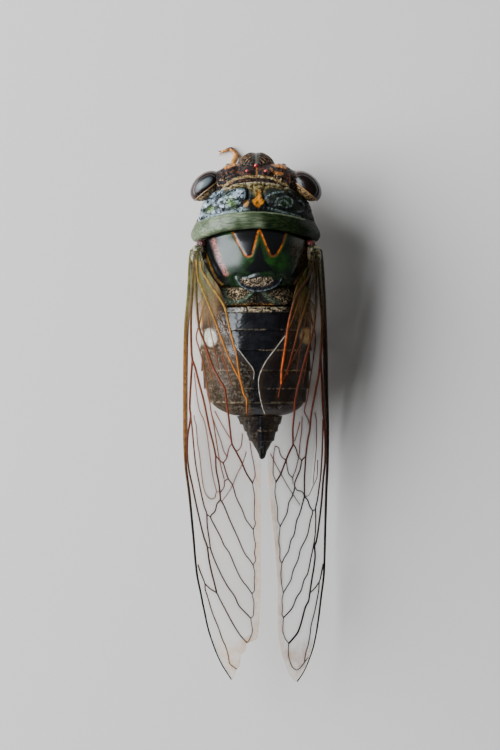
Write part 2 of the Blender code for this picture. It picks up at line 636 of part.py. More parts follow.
def wing_sheet(roof, drop, outline, veins, collection):
    """A bent sheet with raised veins. The outline and the veins are laid out flat and split
    into triangles together, each vein as a ridge line between two foot lines, and the same
    triangles make both faces."""
    points = [tuple(point) for point in outline]
    edges = [(index, (index + 1) % len(points)) for index in range(len(points))]
    rim = np.vstack([outline, outline[:1]])
    lines = [line for line, _ in veins]

    def add_line(line, clear, others):
        kept = inside(line, outline) & (nearest(line, [rim]) > RIM_CLEAR)
        halfway = (line[1:] + line[:-1]) / 2
        if others:
            kept &= nearest(line, others) > clear
            joined = nearest(halfway, others) > clear
        else:
            joined = np.full(len(halfway), True)
        for index, point in enumerate(line):
            if kept[index]:
                points.append(tuple(point))
                if index and kept[index - 1] and joined[index - 1]:
                    edges.append((len(points) - 2, len(points) - 1))

    for line in lines:
        add_line(line, 0.0, [])
    for number, (line, (half_width, _)) in enumerate(veins):
        others = lines[:number] + lines[number + 1:]
        for distance in (half_width, -half_width):
            add_line(beside(line, distance), half_width * FOOT_CLEAR, others)
    for distance in (RIM_INSET, -RIM_INSET):
        add_line(beside(rim, distance), RIM_INSET * FOOT_CLEAR, lines)
    flat, _, faces, *_ = delaunay_2d_cdt(
        [Vector(point) for point in points], edges, [list(range(len(outline)))], 1, MERGE, True
    )
    flat = np.array([tuple(point) for point in flat])
    lift = np.zeros(len(flat))
    for line, (half_width, height) in veins:
        slope = 1 - nearest(flat, [line]) / half_width
        lift = np.maximum(lift, height * np.clip(slope, 0.0, 1.0))
    middle = folded(roof, drop, flat)
    faces = np.array(faces)
    on_rim = nearest(flat, [rim]) < MERGE
    faces = faces[~(on_rim[faces].all(axis=1) & (heights(flat[faces]) < SLIVER))]
    corner = middle[faces]
    across = np.cross(corner[:, 1] - corner[:, 0], corner[:, 2] - corner[:, 0])
    normal = np.zeros_like(middle)
    for column in range(3):
        np.add.at(normal, faces[:, column], across)
    normal /= np.linalg.norm(normal, axis=1)[:, None]
    if normal[:, 2].sum() < 0:
        normal = -normal
    upper = middle + normal * (WING_THICKNESS / 2 + lift)[:, None]
    lower = middle - normal * (WING_THICKNESS / 2)
    count = len(flat)
    every = [tuple(face) for face in faces] + [tuple(face[::-1] + count) for face in faces]
    for start, end in rim_edges(faces):
        every += [(start, end, end + count), (start, end + count, start + count)]
    return add_mesh("sheet", np.vstack([upper, lower]), every, "forewing", collection)


def heights(corners):
    """Height of each flat triangle over its longest side."""
    sides = np.roll(corners, -1, axis=1) - corners
    longest = np.linalg.norm(sides, axis=2).max(axis=1)
    doubled = sides[:, 0, 0] * sides[:, 1, 1] - sides[:, 0, 1] * sides[:, 1, 0]
    return np.abs(doubled) / longest


def rim_edges(faces):
    """Edges that only one triangle uses."""
    used = {}
    for face in faces:
        for start, end in zip(face, np.roll(face, -1)):
            key = (min(start, end), max(start, end))
            used[key] = None if key in used else (int(end), int(start))
    return [edge for edge in used.values() if edge]


def closed_outline(points, spacing):
    """A smooth closed outline through the points."""
    return curve_points(list(points) + [points[0]], spacing)[:-1]


def forewing_outline(roof, edge, apex_flat):
    """The forewing's outline laid out flat, round from the root along the costa."""
    costa_y = np.arange(*COSTA_ENDS, -EDGE_STEP)
    costa = np.column_stack([np.full(len(costa_y), COSTA_INSIDE), costa_y])
    hind_y = np.append(np.arange(HIND_ENDS[0], HIND_ENDS[1] - 1.0, EDGE_STEP), HIND_ENDS[1])
    hind_x = through(edge, hind_y)[:, 0]
    crest_x = arch(roof, hind_y)[0]
    hind_x = np.where(hind_y < HIND_ON_CREST, crest_x, hind_x)
    hind = laid_out(roof, 0.0, np.column_stack([hind_x, hind_y]))
    return np.vstack([costa, apex_flat, hind])


def forewing(side, parts):
    """One forewing with its root knob, cut clear of the thorax."""
    left = side == "left"
    roof, edge = (LEFT_ROOF, LEFT_EDGE) if left else (RIGHT_ROOF, RIGHT_EDGE)

    def on_this_side(points):
        flat = laid_out(LEFT_ROOF, 0.0, points)
        if left:
            return flat
        return carried_over(flat, LEFT_ROOF, roof, 0.0, LEFT_EDGE, edge)

    apex = on_this_side(curve_points(TORN_APEX if left else APEX, APEX_STEP))
    outline = forewing_outline(roof, edge, apex)
    veins = [(on_this_side(curve_points(line, VEIN_STEP)), FOREWING_VEIN)
             for line in FOREWING_VEINS.values()]
    costa = outline[outline[:, 0] < 1.5 * COSTA_INSIDE] + (COSTA_INSET, 0.0)
    veins.append((costa, COSTA_VEIN))
    joined = hidden_collection("joined")
    wing_sheet(roof, 0.0, outline, veins, joined)
    (x, y, z), half = FOREWING_ROOT
    sign = -1 if left else 1
    ball((sign * x, y, z), half, joined, BALL_SIDES["wing_root"])
    cutters = hidden_collection("cutters")
    grown_body(cutters, "pronotum", "mesothorax")
    node(f"forewing_{side}", "forewing", parts, joined, cutters)


def hindwing(side, parts):
    """One hindwing under the forewing, on a smaller arch."""
    left = side == "left"
    roof = LEFT_ROOF if left else RIGHT_ROOF

    def on_this_side(points):
        flat = laid_out(LEFT_ROOF, HINDWING_DROP, points)
        return flat if left else carried_over(flat, LEFT_ROOF, roof, HINDWING_DROP)

    outline = on_this_side(closed_outline(HINDWING_OUTLINE, EDGE_STEP))
    outline[:, 0] = np.maximum(outline[:, 0], HINDWING_COSTA)
    veins = [(on_this_side(curve_points(line, VEIN_STEP)), HINDWING_VEIN)
             for line in HINDWING_VEINS.values()]
    joined = hidden_collection("joined")
    wing_sheet(roof, HINDWING_DROP, outline, veins, joined)
    (x, y, z), half = HINDWING_ROOT
    sign = -1 if left else 1
    ball((sign * x, y, z), half, joined, BALL_SIDES["wing_root"])
    cutters = hidden_collection("cutters")
    grown_body(cutters, "mesothorax", "metathorax", "abdomen")
    node(f"hindwing_{side}", "hindwing", parts, joined, cutters)


# Head, legs and the small parts

def mirrored(points, sign):
    """Points given for the left side, or their mirror image for the right."""
    return [(-sign * x, y, z) for x, y, z in points]


def eye_middle(sign):
    return sign * EYE_MIDDLE[0], EYE_MIDDLE[1], EYE_MIDDLE[2]


def eye(sign, collection, grow=0.0):
    half = tuple(size + grow for size in EYE_HALF)
    return ball(eye_middle(sign), half, collection, BALL_SIDES["eye"], turn=-sign * EYE_TURN)


def eyes(parts):
    for side, sign in (("left", -1), ("right", 1)):
        joined = hidden_collection("joined")
        eye(sign, joined)
        cutters = hidden_collection("cutters")
        grown_body(cutters, "pronotum")
        node(f"eye_{side}", "eye", parts, joined, cutters)


def head(parts):
    """The wide head: a capsule with the bulging face and three small domes on top."""
    joined = hidden_collection("joined")
    ball(*HEAD_CAPSULE, joined, BALL_SIDES["head"])
    ball(*FACE_BULGE, joined, BALL_SIDES["face"], turn=FACE_TURN)
    for x, y in OCELLI:
        (_, middle_y, middle_z), (half_x, half_y, half_z) = HEAD_CAPSULE
        rise = half_z * math.sqrt(1 - (x / half_x) ** 2 - ((y - middle_y) / half_y) ** 2)
        middle = (x, y, middle_z + rise - OCELLUS_SINK)
        ball(middle, (OCELLUS_RADIUS,) * 3, joined, BALL_SIDES["ocellus"])
    cutters = hidden_collection("cutters")
    grown_body(cutters, "pronotum")
    for sign in (-1, 1):
        eye(sign, cutters, GAP)
    node("head", "head", parts, joined, cutters)


def grown_head(collection):
    """The head's two forms grown by GAP, as cutters."""
    for middle, half in (HEAD_CAPSULE, FACE_BULGE):
        ball(middle, tuple(size + GAP for size in half), collection, BALL_SIDES["head_cutter"])


def rostrum(parts):
    joined = hidden_collection("joined")
    points, radii = zip(*ROSTRUM)
    tube(points, radii, joined)
    cutters = hidden_collection("cutters")
    grown_body(cutters, "pronotum")
    grown_head(cutters)
    node("rostrum", "rostrum", parts, joined, cutters)


def antennae(parts):
    for side, sign in (("left", -1), ("right", 1)):
        joined = hidden_collection("joined")
        points = [(sign * x, y, z) for (x, y, z), _ in ANTENNA]
        tube(points, [radius for _, radius in ANTENNA], joined)
        cutters = hidden_collection("cutters")
        grown_head(cutters)
        node(f"antenna_{side}", "antenna", parts, joined, cutters)


def opercula(parts):
    """The two plates under the base of the abdomen."""
    (x, y, z), half = OPERCULUM
    for side, sign in (("left", -1), ("right", 1)):
        joined = hidden_collection("joined")
        ball((sign * x, y, z), half, joined, BALL_SIDES["operculum"])
        cutters = hidden_collection("cutters")
        grown_body(cutters, "abdomen", "metathorax")
        node(f"operculum_{side}", "operculum", parts, joined, cutters)


def leg(name, kind, hip, joints, sign, parts):
    """Hip, thigh, shin, foot and claws as tapering tubes, with a flat under the foot."""
    thigh = THIGH_RADIUS[kind]
    joined = hidden_collection("joined")
    hip, *joints = mirrored([hip] + list(joints), sign)
    knee_start, knee, ankle, foot, ball_of_foot, claw = joints
    tube([hip, knee_start], HIP_RADII, joined)
    middle = tuple((a + b) / 2 for a, b in zip(knee_start, knee))
    tube([knee_start, middle, knee], [thigh * share for share in THIGH_TAPER], joined)
    tube([knee, ankle, foot], SHIN_RADII, joined)
    tube([foot, ball_of_foot, claw], FOOT_RADII, joined)
    for joint, radius in zip((knee_start, knee, foot), (*(thigh * KNEE_SHARES), HEEL_RADIUS)):
        ball(joint, (radius,) * 3, joined, BALL_SIDES["leg_joint"], turn=KNEE_TURN)
    cutters = hidden_collection("cutters")
    grown_body(cutters, "pronotum", "mesothorax", "metathorax", "abdomen")
    below = bpy.data.meshes.new("below")
    work = bmesh.new()
    lowered = Matrix.Translation((0.0, 0.0, -FLOOR_CUTTER * MM / 2))
    bmesh.ops.create_cube(work, size=FLOOR_CUTTER * MM, matrix=lowered)
    work.to_mesh(below)
    work.free()
    cutters.objects.link(bpy.data.objects.new("below", below))
    node(name, "leg", parts, joined, cutters)


def legs(parts):
    for side, sign in (("left", -1), ("right", 1)):
        fore = FORELEG_REACHING if side == "left" else FORELEG_TUCKED
        leg(f"foreleg_{side}", "foreleg", FORELEG_HIP, fore, sign, parts)
        leg(f"midleg_{side}", "midleg", MIDLEG_HIP, MIDLEG, sign, parts)
        leg(f"hindleg_{side}", "hindleg", HINDLEG_HIP, HINDLEG, sign, parts)


BODY = {
    "pronotum": PRONOTUM_RINGS,
    "mesothorax": MESOTHORAX_RINGS,
    "metathorax": METATHORAX_RINGS,
    "abdomen": ABDOMEN_RINGS,
}


def thorax_and_abdomen(parts):
    places = np.array([row[0] for row in PRONOTUM_RINGS])
    body_part("pronotum", PRONOTUM_RINGS, places, "pronotum", parts)
    places = plain_places(METATHORAX_RINGS, RING_STEP)
    body_part("metathorax", METATHORAX_RINGS, places, "metathorax", parts)
    stations, places = tergite_stations()
    body_part("abdomen", stations, places, "abdomen", parts)
    tip_places = plain_places(ABDOMEN_TIP_RINGS, TIP_RING_STEP)
    body_part("abdomen_tip", ABDOMEN_TIP_RINGS, tip_places, "abdomen", parts)


def mesothorax(parts):
    """The domed middle of the thorax with the raised cross at its back."""
    joined = hidden_collection("joined")
    places = plain_places(MESOTHORAX_RINGS, RING_STEP)
    body_part("mesothorax", MESOTHORAX_RINGS, places, "mesothorax", joined)
    for bar in CROSS_BARS:
        tube(bar, CROSS_RADII, joined)
    node("mesothorax", "mesothorax", parts, joined)


def main():
    for piece in list(bpy.data.objects):
        bpy.data.objects.remove(piece)
    parts = hidden_collection("cicada")
    thorax_and_abdomen(parts)
    mesothorax(parts)
    head(parts)
    eyes(parts)
    antennae(parts)
    rostrum(parts)
    opercula(parts)
    legs(parts)
    for side in ("left", "right"):
        forewing(side, parts)
        hindwing(side, parts)


main()
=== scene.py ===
"""A dog-day cicada at rest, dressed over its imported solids.

Lengths are millimetres, and each mesh is scaled to metres when it is made. +Y points ahead of
the insect, +X to its right and +Z up. A surface is a grid of points worked out as whole arrays:
a ring or profile carried along the body, a leg or a vein, or a wing bent round its arch. What
is drawn on a surface, such as the orange W of the back, is a mask kept with its points.
"""

import math

import bpy
import mathutils
import numpy as np
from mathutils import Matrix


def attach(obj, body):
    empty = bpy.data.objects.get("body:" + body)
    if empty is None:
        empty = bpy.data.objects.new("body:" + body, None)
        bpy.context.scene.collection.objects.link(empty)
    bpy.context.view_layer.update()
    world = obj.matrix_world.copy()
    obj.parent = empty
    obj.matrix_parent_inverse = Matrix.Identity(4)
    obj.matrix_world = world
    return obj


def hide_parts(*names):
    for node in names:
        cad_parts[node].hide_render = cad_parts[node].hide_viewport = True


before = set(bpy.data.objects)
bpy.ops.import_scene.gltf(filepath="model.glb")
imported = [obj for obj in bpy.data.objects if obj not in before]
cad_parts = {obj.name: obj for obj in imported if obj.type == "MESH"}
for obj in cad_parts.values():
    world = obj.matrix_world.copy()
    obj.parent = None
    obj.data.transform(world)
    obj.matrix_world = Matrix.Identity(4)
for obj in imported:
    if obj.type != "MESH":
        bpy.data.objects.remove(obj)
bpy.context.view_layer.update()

MM = 0.001
TURN = 6.283             # one whole turn in radians, near enough for a pattern
SIDES = (("left", -1), ("right", 1))


# Lines and drawings, seen from above

def through(stations, at):
    """The columns after the first of `stations`, at positions `at`, by monotone cubic steps."""
    table = np.array(stations, float)
    table = table[np.argsort(table[:, 0], kind="stable")]
    place, value = table[:, 0], table[:, 1:]
    step = np.diff(place)[:, None]
    secant = np.diff(value, axis=0) / step
    rising = secant[:-1] * secant[1:] > 0
    both = np.where(rising, secant[:-1] + secant[1:], 1.0)
    inner = np.where(rising, 2 * secant[:-1] * secant[1:] / both, 0.0)
    slope = np.vstack([secant[:1], inner, secant[-1:]])
    at = np.clip(np.atleast_1d(np.asarray(at, float)), place[0], place[-1])
    left = np.clip(np.searchsorted(place, at) - 1, 0, len(place) - 2)
    part = ((at - place[left]) / step[left, 0])[:, None]
    start = value[left] * (1 + 2 * part) + slope[left] * step[left] * part
    end = value[left + 1] * (3 - 2 * part) + slope[left + 1] * step[left] * (part - 1)
    return start * (1 - part) ** 2 + end * part**2


def curve(knots, spacing):
    """A smooth curve through the knots by their distance along it, points about `spacing` apart."""
    knots = np.array(knots, float)
    length = np.append(0.0, np.cumsum(np.linalg.norm(np.diff(knots, axis=0), axis=1)))
    count = max(int(length[-1] / spacing), 3)
    return through(np.column_stack([length, knots]), np.linspace(0.0, length[-1], count + 1))


def smooth(value, low, high):
    """0 up to `low`, 1 from `high` on, and an even S between; `low` may be the larger one."""
    part = np.clip((value - low) / (high - low), 0.0, 1.0)
    return part * part * (3 - 2 * part)


def hump(gap, half):
    """1 where the gap is 0, and e to the power -(gap / half)² away from there."""
    return np.exp(-(gap / half) ** 2)


def from_lines(x, y, lines):
    """Distance from each point to the nearest of the lines."""
    best = np.full(x.shape, 1e9)
    for line in lines:
        for (ax, ay), (bx, by) in zip(line[:-1], line[1:]):
            way_x, way_y = bx - ax, by - ay
            share = ((x - ax) * way_x + (y - ay) * way_y) / max(way_x**2 + way_y**2, 1e-9)
            share = np.clip(share, 0.0, 1.0)
            best = np.minimum(best, (x - ax - share * way_x) ** 2 + (y - ay - share * way_y) ** 2)
    return np.sqrt(best)


def ridge(x, y, knots, half, spacing=0.2):
    """A rounded ridge along a curve, as a hump of the distance from it."""
    return hump(from_lines(x, y, [curve(knots, spacing)]), half)


def stroke(x, y, knots, width, soft):
    """A drawn line: 1 within half its width of the curve, fading to 0 over `soft`."""
    return smooth(from_lines(x, y, [curve(knots, 0.25)]), width / 2 + soft, width / 2)


def patch(x, y, middle, half, turn=0.0, soft=0.3):
    """A drawn oval: 1 in its middle, fading to 0 from the share `soft` of its size inside its
    rim to as much outside it."""
    cosine, sine = math.cos(math.radians(turn)), math.sin(math.radians(turn))
    along = (x - middle[0]) * cosine + (y - middle[1]) * sine
    across = (y - middle[1]) * cosine - (x - middle[0]) * sine
    return smooth(np.hypot(along / half[0], across / half[1]), 1 + soft, 1 - soft)


def inside(x, y, outline, soft=0.06):
    """1 inside a closed outline, falling to 0 across its edge."""
    closed = outline + outline[:1]
    within = np.zeros(x.shape, bool)
    for (ax, ay), (bx, by) in zip(closed[:-1], closed[1:]):
        crosses = (ay > y) != (by > y)
        within ^= crosses & (x < ax + (y - ay) * (bx - ax) / (by - ay or 1.0))
    gap = from_lines(x, y, [closed])
    return smooth(np.where(within, gap, -gap), -soft, soft)


def ripples(x, y, seed, scale, waves=5):
    """Uneven waves between -1 and 1: a mean of sines in seeded directions and phases."""
    draw = np.random.default_rng(seed)
    total = np.zeros_like(x)
    for angle, phase, stretch in draw.uniform(0, 1, (waves, 3)):
        size = scale * (0.6 + stretch)
        run = x * math.cos(angle * TURN) + y * math.sin(angle * TURN)
        total += np.sin(run / size * TURN + phase * TURN)
    return total / waves


def strongest(*masks):
    """The largest of several masks at each point."""
    return np.maximum.reduce(masks)


def both_sides(draw, x, y, *values):
    """The larger of a drawing and its mirror image on the insect's other side."""
    return np.maximum(draw(x, y, *values), draw(-x, y, *values))


def mirrored(knots, sign):
    """The knots with x times the sign, which mirrors them where it is -1."""
    return [(sign * x, *others) for x, *others in knots]


# Surfaces: a part is its points, with masks in the columns after x, y and z, and its faces

ROUND_END = 0.6          # how far a rod's ends stand out, in half widths
SHOULDER = (0.6, 0.7)    # share of that length, and of the section, at the ring before the end


def outward(points, faces):
    """The same faces, all turned round if the room that they enclose comes out negative."""
    room = 0.0
    for group in faces:
        corner = points[:, :3][group]
        for third in range(2, group.shape[1]):
            normal = np.cross(corner[:, third - 1], corner[:, third])
            room += np.einsum("ij,ij->", corner[:, 0], normal)
    return faces if room > 0 else [group[:, ::-1] for group in faces]


def lofted(rings):
    """A closed part from rings of points (ring, place round it, value), whose first and last
    ring are each drawn together to one point."""
    rows, columns = rings.shape[:2]
    ring = 1 + np.arange((rows - 2) * columns).reshape(rows - 2, columns)
    following = np.roll(ring, -1, axis=1)
    quads = np.stack([ring[:-1], following[:-1], following[1:], ring[1:]], axis=-1)
    front = np.stack([np.zeros(columns, int), following[0], ring[0]], axis=-1)
    back = np.stack([np.full(columns, 1 + ring.size), ring[-1], following[-1]], axis=-1)
    points = np.vstack([rings[0, :1], rings[1:-1].reshape(-1, rings.shape[2]), rings[-1, :1]])
    return points, outward(points, [quads.reshape(-1, 4), front, back])


def walled(middle, normal, thickness, marks):
    """A thin closed sheet: a grid of points moved both ways along its normal, and its rim."""
    index = np.arange(middle[..., 0].size).reshape(middle.shape[:2])
    quads = np.stack([index[:-1, :-1], index[:-1, 1:], index[1:, 1:], index[1:, :-1]], axis=-1)
    quads = quads.reshape(-1, 4)
    rim = np.concatenate([index[0], index[1:, -1], index[-1, -2::-1], index[-2:0:-1, 0]])
    following = np.roll(rim, -1)
    count = index.size
    walls = np.stack([following, rim, rim + count, following + count], axis=-1)
    half = normal * (thickness / 2)
    both = [np.dstack([middle + half, marks]), np.dstack([middle - half, marks])]
    points = np.vstack([side.reshape(count, -1) for side in both])
    return points, outward(points, [quads, quads[:, ::-1] + count, walls])


def tube(line, width, height, sides, up=(0.0, 0.0, 1.0)):
    """A part with an oval section carried along a line. Its half width and half height are
    given at each point, and `up` is the way its height points. Its ends are rounded off."""
    line = np.asarray(line, float)
    width, height = (np.broadcast_to(np.asarray(size, float), len(line)) for size in (width, height))
    ahead = np.gradient(line, axis=0)
    ahead /= np.linalg.norm(ahead, axis=1)[:, None]
    side = np.cross(ahead, np.broadcast_to(up, line.shape))
    side /= np.linalg.norm(side, axis=1)[:, None]
    top = np.cross(side, ahead)
    angle = np.arange(sides) * 2 * np.pi / sides
    ring = (width[:, None, None] * np.cos(angle)[:, None] * side[:, None]
            + height[:, None, None] * np.sin(angle)[:, None] * top[:, None])
    start, end = -ahead[0] * width[0] * ROUND_END, ahead[-1] * width[-1] * ROUND_END
    near = line[0] + start * SHOULDER[0] + ring[0] * SHOULDER[1]
    far = line[-1] + end * SHOULDER[0] + ring[-1] * SHOULDER[1]
    poles = [np.broadcast_to(pole, (1, sides, 3)) for pole in (line[0] + start, line[-1] + end)]
    return lofted(np.concatenate([poles[0], near[None], line[:, None] + ring, far[None], poles[1]]))


def ellipsoid(middle, half, axis, rows, columns):
    """The grid of an egg-like surface, in circles of latitude round the given axis."""
    latitude = np.linspace(-np.pi / 2, np.pi / 2, rows)[:, None]
    longitude = (np.arange(columns) * 2 * np.pi / columns)[None]
    first = np.cos(latitude) * np.cos(longitude)
    second = np.cos(latitude) * np.sin(longitude)
    third = np.sin(latitude) * np.ones_like(longitude)
    order = {"z": (first, second, third), "y": (second, third, first), "x": (third, first, second)}
    return np.stack(order[axis], axis=-1) * half + np.array(middle)


def normals(grid):
    """Normals of a grid of rings, pointing away from the middle of each ring."""
    around = np.roll(grid, -1, axis=1) - np.roll(grid, 1, axis=1)
    along = np.gradient(grid, axis=0)
    normal = np.cross(around, along)
    size = np.linalg.norm(normal, axis=2)[..., None]
    normal = normal / np.where(size > 1e-9, size, 1.0)
    away = grid - grid.mean(axis=1)[:, None]
    return normal * np.sign((normal * away).sum(axis=2).sum())


def turned(part, middle, degrees):
    """A part turned about the upright line through a point."""
    points, faces = part
    cosine, sine = math.cos(math.radians(degrees)), math.sin(math.radians(degrees))
    moved = points.copy()
    x, y = points[:, 0] - middle[0], points[:, 1] - middle[1]
    moved[:, 0] = middle[0] + x * cosine - y * sine
    moved[:, 1] = middle[1] + x * sine + y * cosine
    return moved, faces


def piece(name, parts, finish, replaces=(), marks=()):
    """One object from closed parts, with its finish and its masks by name."""
    points, faces, count = [], [], 0
    for own, groups in parts:
        points.append(own)
        for group in groups:
            faces += (group + count).tolist()
        count += len(own)
    points = np.vstack(points)
    mesh = bpy.data.meshes.new(name)
    mesh.from_pydata((points[:, :3] * MM).tolist(), [], faces)
    for column, mark in enumerate(marks):
        layer = mesh.attributes.new(mark, "FLOAT", "POINT")
        layer.data.foreach_set("value", points[:, 3 + column].astype(np.float32))
    mesh.materials.append(finish)
    mesh.shade_smooth()
    made = bpy.data.objects.new(name, mesh)
    bpy.context.scene.collection.objects.link(made)
    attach(made, "root")
    if replaces:
        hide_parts(*replaces)


# Materials

class Nodes:
    """A node tree that is being filled. Most methods add a node and return what it gives."""

    def __init__(self, tree):
        self.tree = tree

    def put(self, socket, value):
        """Feeds a socket from another one or from a mask by its name, or sets its plain value."""
        if isinstance(value, str):
            value = self.add("Attribute", attribute_name=value)["Fac"]
        if isinstance(value, bpy.types.NodeSocket):
            self.tree.links.new(value, socket)
        else:
            socket.default_value = (*value, 1.0) if socket.type == "RGBA" else value

    def add(self, kind, inputs=None, **settings):
        """The outputs of a new node with these settings and inputs."""
        node = self.tree.nodes.new("ShaderNode" + kind)
        for name, value in settings.items():
            setattr(node, name, value)
        for name, value in (inputs or {}).items():
            self.put(node.inputs[name], value)
        return node.outputs

    def place(self, stretch=(1.0, 1.0, 1.0)):
        """Object coordinates in millimetres, stretched along each axis."""
        where = self.add("TexCoord")["Object"]
        scale = tuple(share / MM for share in stretch)
        return self.add("Mapping", {"Vector": where, "Scale": scale})["Vector"]

    def along(self, where, axis):
        """One coordinate of a place."""
        return self.add("SeparateXYZ", {"Vector": where})[axis]

    def spread(self, value, low, high, out_low=0.0, out_high=1.0):
        """Maps low to high onto 0 to 1 or other ends, softly; low may be above high."""
        ends = (low, high, out_low, out_high) if low < high else (high, low, out_high, out_low)
        inputs = dict(zip(("From Min", "From Max", "To Min", "To Max"), ends), Value=value)
        return self.add("MapRange", inputs, interpolation_type="SMOOTHSTEP")["Result"]

    def noise(self, where, scale, detail=3.0, low=0.35, high=0.65):
        """Cloudy noise with `scale` cells a millimetre, its middle spread out to 0 and 1."""
        cloud = self.add("TexNoise", {"Vector": where, "Scale": scale, "Detail": detail})
        return self.spread(cloud["Fac"], low, high)

    def cells(self, where, scale, feature, low, high):
        """Distance to the nearest of scattered points, or to the edge between two cells."""
        scattered = self.add("TexVoronoi", {"Vector": where, "Scale": scale}, feature=feature)
        return self.spread(scattered["Distance"], low, high)

    def warped(self, where, scale, reach):
        """Coordinates shifted by `reach` millimetres, give or take up to as much again, so that
        cells grow uneven."""
        cloud = self.add("TexNoise", {"Vector": where, "Scale": scale, "Detail": 3.0})
        pushed = {0: cloud["Color"], 1: (2 * reach,) * 3, 2: where}
        return self.add("VectorMath", pushed, operation="MULTIPLY_ADD")["Vector"]

    def sums(self, operation, value, *others):
        """One value from several, by a step of arithmetic with each of the others."""
        for other in others:
            value = self.add("Math", {0: value, 1: other}, operation=operation)[0]
        return value

    def times(self, *values):
        """The product of several values."""
        return self.sums("MULTIPLY", *values)

    def mix(self, share, first, second):
        """Two colours mixed by a share."""
        return self.add("Mix", {"Factor": share, "A": first, "B": second}, data_type="RGBA")["Result"]


class Finish(Nodes):
    """A new material: its shader with plain values, and the colour that is painted so far."""

    def __init__(self, name, colour=(0.5, 0.5, 0.5), roughness=0.5, **sockets):
        self.made = bpy.data.materials.new(name)
        self.made.use_nodes = True
        super().__init__(self.made.node_tree)
        self.shader = self.tree.nodes["Principled BSDF"]
        self.join(Base_Color=colour, Roughness=roughness, **sockets)

    def join(self, **sockets):
        """Feeds or sets the shader's own sockets."""
        for name, value in sockets.items():
            self.put(self.shader.inputs[name.replace("_", " ")], value)

    def start(self, grain, dark, light):
        """Takes a grain, which mixes each later pair of colours too, and paints the ground."""
        self.grain = grain
        self.colour = self.mix(grain, dark, light)

    def shell(self, where, blotches):
        """The insect shell's values, with its blotches at this many cells a millimetre."""
        return self.add("Group", {"Vector": where, "Blotches": blotches}, node_tree=SHELL)

    def paint(self, share, colour, light=None, grain=None):
        """Lays a colour, or two mixed by a grain, over the last as far as a share goes. Several
        shares are multiplied, and a name stands for the mask of that name."""
        shares = share if isinstance(share, tuple) else (share,)
        if light:
            colour = self.mix(self.grain if grain is None else grain, colour, light)
        self.colour = self.mix(self.times(*shares), self.colour, colour)

    def done(self, height, depth, **sockets):
        """The material, with its painted colour and fine relief `depth` millimetres high."""
        relief = self.add("Bump", {"Distance": depth * MM, "Height": height})["Normal"]
        self.join(Base_Color=self.colour, Normal=relief, **sockets)
        return self.made


def insect_shell():
    """A group for insect shell. From Vector in millimetres and Blotches in cells a millimetre
    it gives Mottle, its cloudy blotches, and Height, their relief with small pits."""
    tree = bpy.data.node_groups.new("insect_shell", "ShaderNodeTree")
    for label, kind, way in (("Vector", "Vector", "INPUT"), ("Blotches", "Float", "INPUT"),
                             ("Mottle", "Float", "OUTPUT"), ("Height", "Float", "OUTPUT")):
        tree.interface.new_socket(label, in_out=way, socket_type="NodeSocket" + kind)
    given = tree.nodes.new("NodeGroupInput").outputs
    made = tree.nodes.new("NodeGroupOutput").inputs
    nodes = Nodes(tree)
    mottle = nodes.noise(given["Vector"], given["Blotches"], 5.0, 0.38, 0.62)
    pits = nodes.cells(given["Vector"], 4.0, "F1", 0.45, 0.15)
    nodes.put(made["Mottle"], mottle)
    nodes.put(made["Height"], nodes.sums("SUBTRACT", nodes.times(mottle, 0.6), nodes.times(pits, 0.5)))
    return tree


SHELL = insect_shell()


# Wings: the same arches as the solids', each wing a thin film with rods for its veins

# Roof of each side, back from the wing root: y, costa x, crest x, costa z, crest z
ROOFS = {
    "left": [
        (16.8, -6.3, 0.3, 8.7, 11.6), (15.4, -6.5, 0.3, 8.2, 12.0), (12.0, -6.7, 0.3, 7.0, 12.4),
        (9.0, -7.0, 0.3, 5.9, 12.6), (6.0, -7.12, 0.3, 4.6, 12.65), (2.0, -7.18, 0.3, 3.0, 12.5),
        (-2.0, -7.19, 0.4, 2.2, 12.2), (-5.0, -7.07, 0.45, 2.0, 11.9), (-8.0, -6.7, 0.45, 1.9, 11.6),
        (-12.0, -6.3, 0.45, 1.9, 11.1), (-16.0, -5.92, 0.45, 2.2, 10.2), (-18.6, -5.4, 0.4, 2.7, 9.4),
        (-22.0, -4.75, 0.3, 3.6, 8.3), (-27.0, -3.9, 0.3, 5.2, 6.8),
    ],
    "right": [
        (16.8, 6.3, 0.1, 8.7, 11.6), (15.4, 6.5, 0.1, 8.2, 12.0), (12.0, 6.75, 0.1, 7.0, 12.4),
        (9.0, 6.9, 0.1, 5.9, 12.6), (6.0, 7.02, 0.1, 4.6, 12.65), (2.0, 7.12, 0.35, 3.0, 12.5),
        (-2.0, 7.23, 0.9, 2.2, 12.2), (-5.0, 7.2, 1.15, 2.0, 12.0), (-8.0, 7.07, 1.35, 1.9, 11.8),
        (-12.0, 6.95, 1.75, 1.9, 11.3), (-16.0, 6.82, 2.1, 2.2, 10.4), (-18.6, 6.5, 2.15, 2.7, 9.6),
        (-22.0, 6.05, 2.2, 3.6, 8.5), (-27.0, 5.35, 2.2, 5.2, 6.8),
    ],
}
# Flatness of the arch at each y: 0 is an ellipse, 1 a straight slope
ROOF_FLATNESS = [
    (16.8, 0.0), (2.0, 0.0), (-2.0, 0.1), (-5.0, 0.22), (-9.0, 0.36), (-20.0, 0.45), (-27.0, 0.4),
]
HINDWING_DROP = 0.9      # how much smaller the arch of the hindwing is than the forewing's

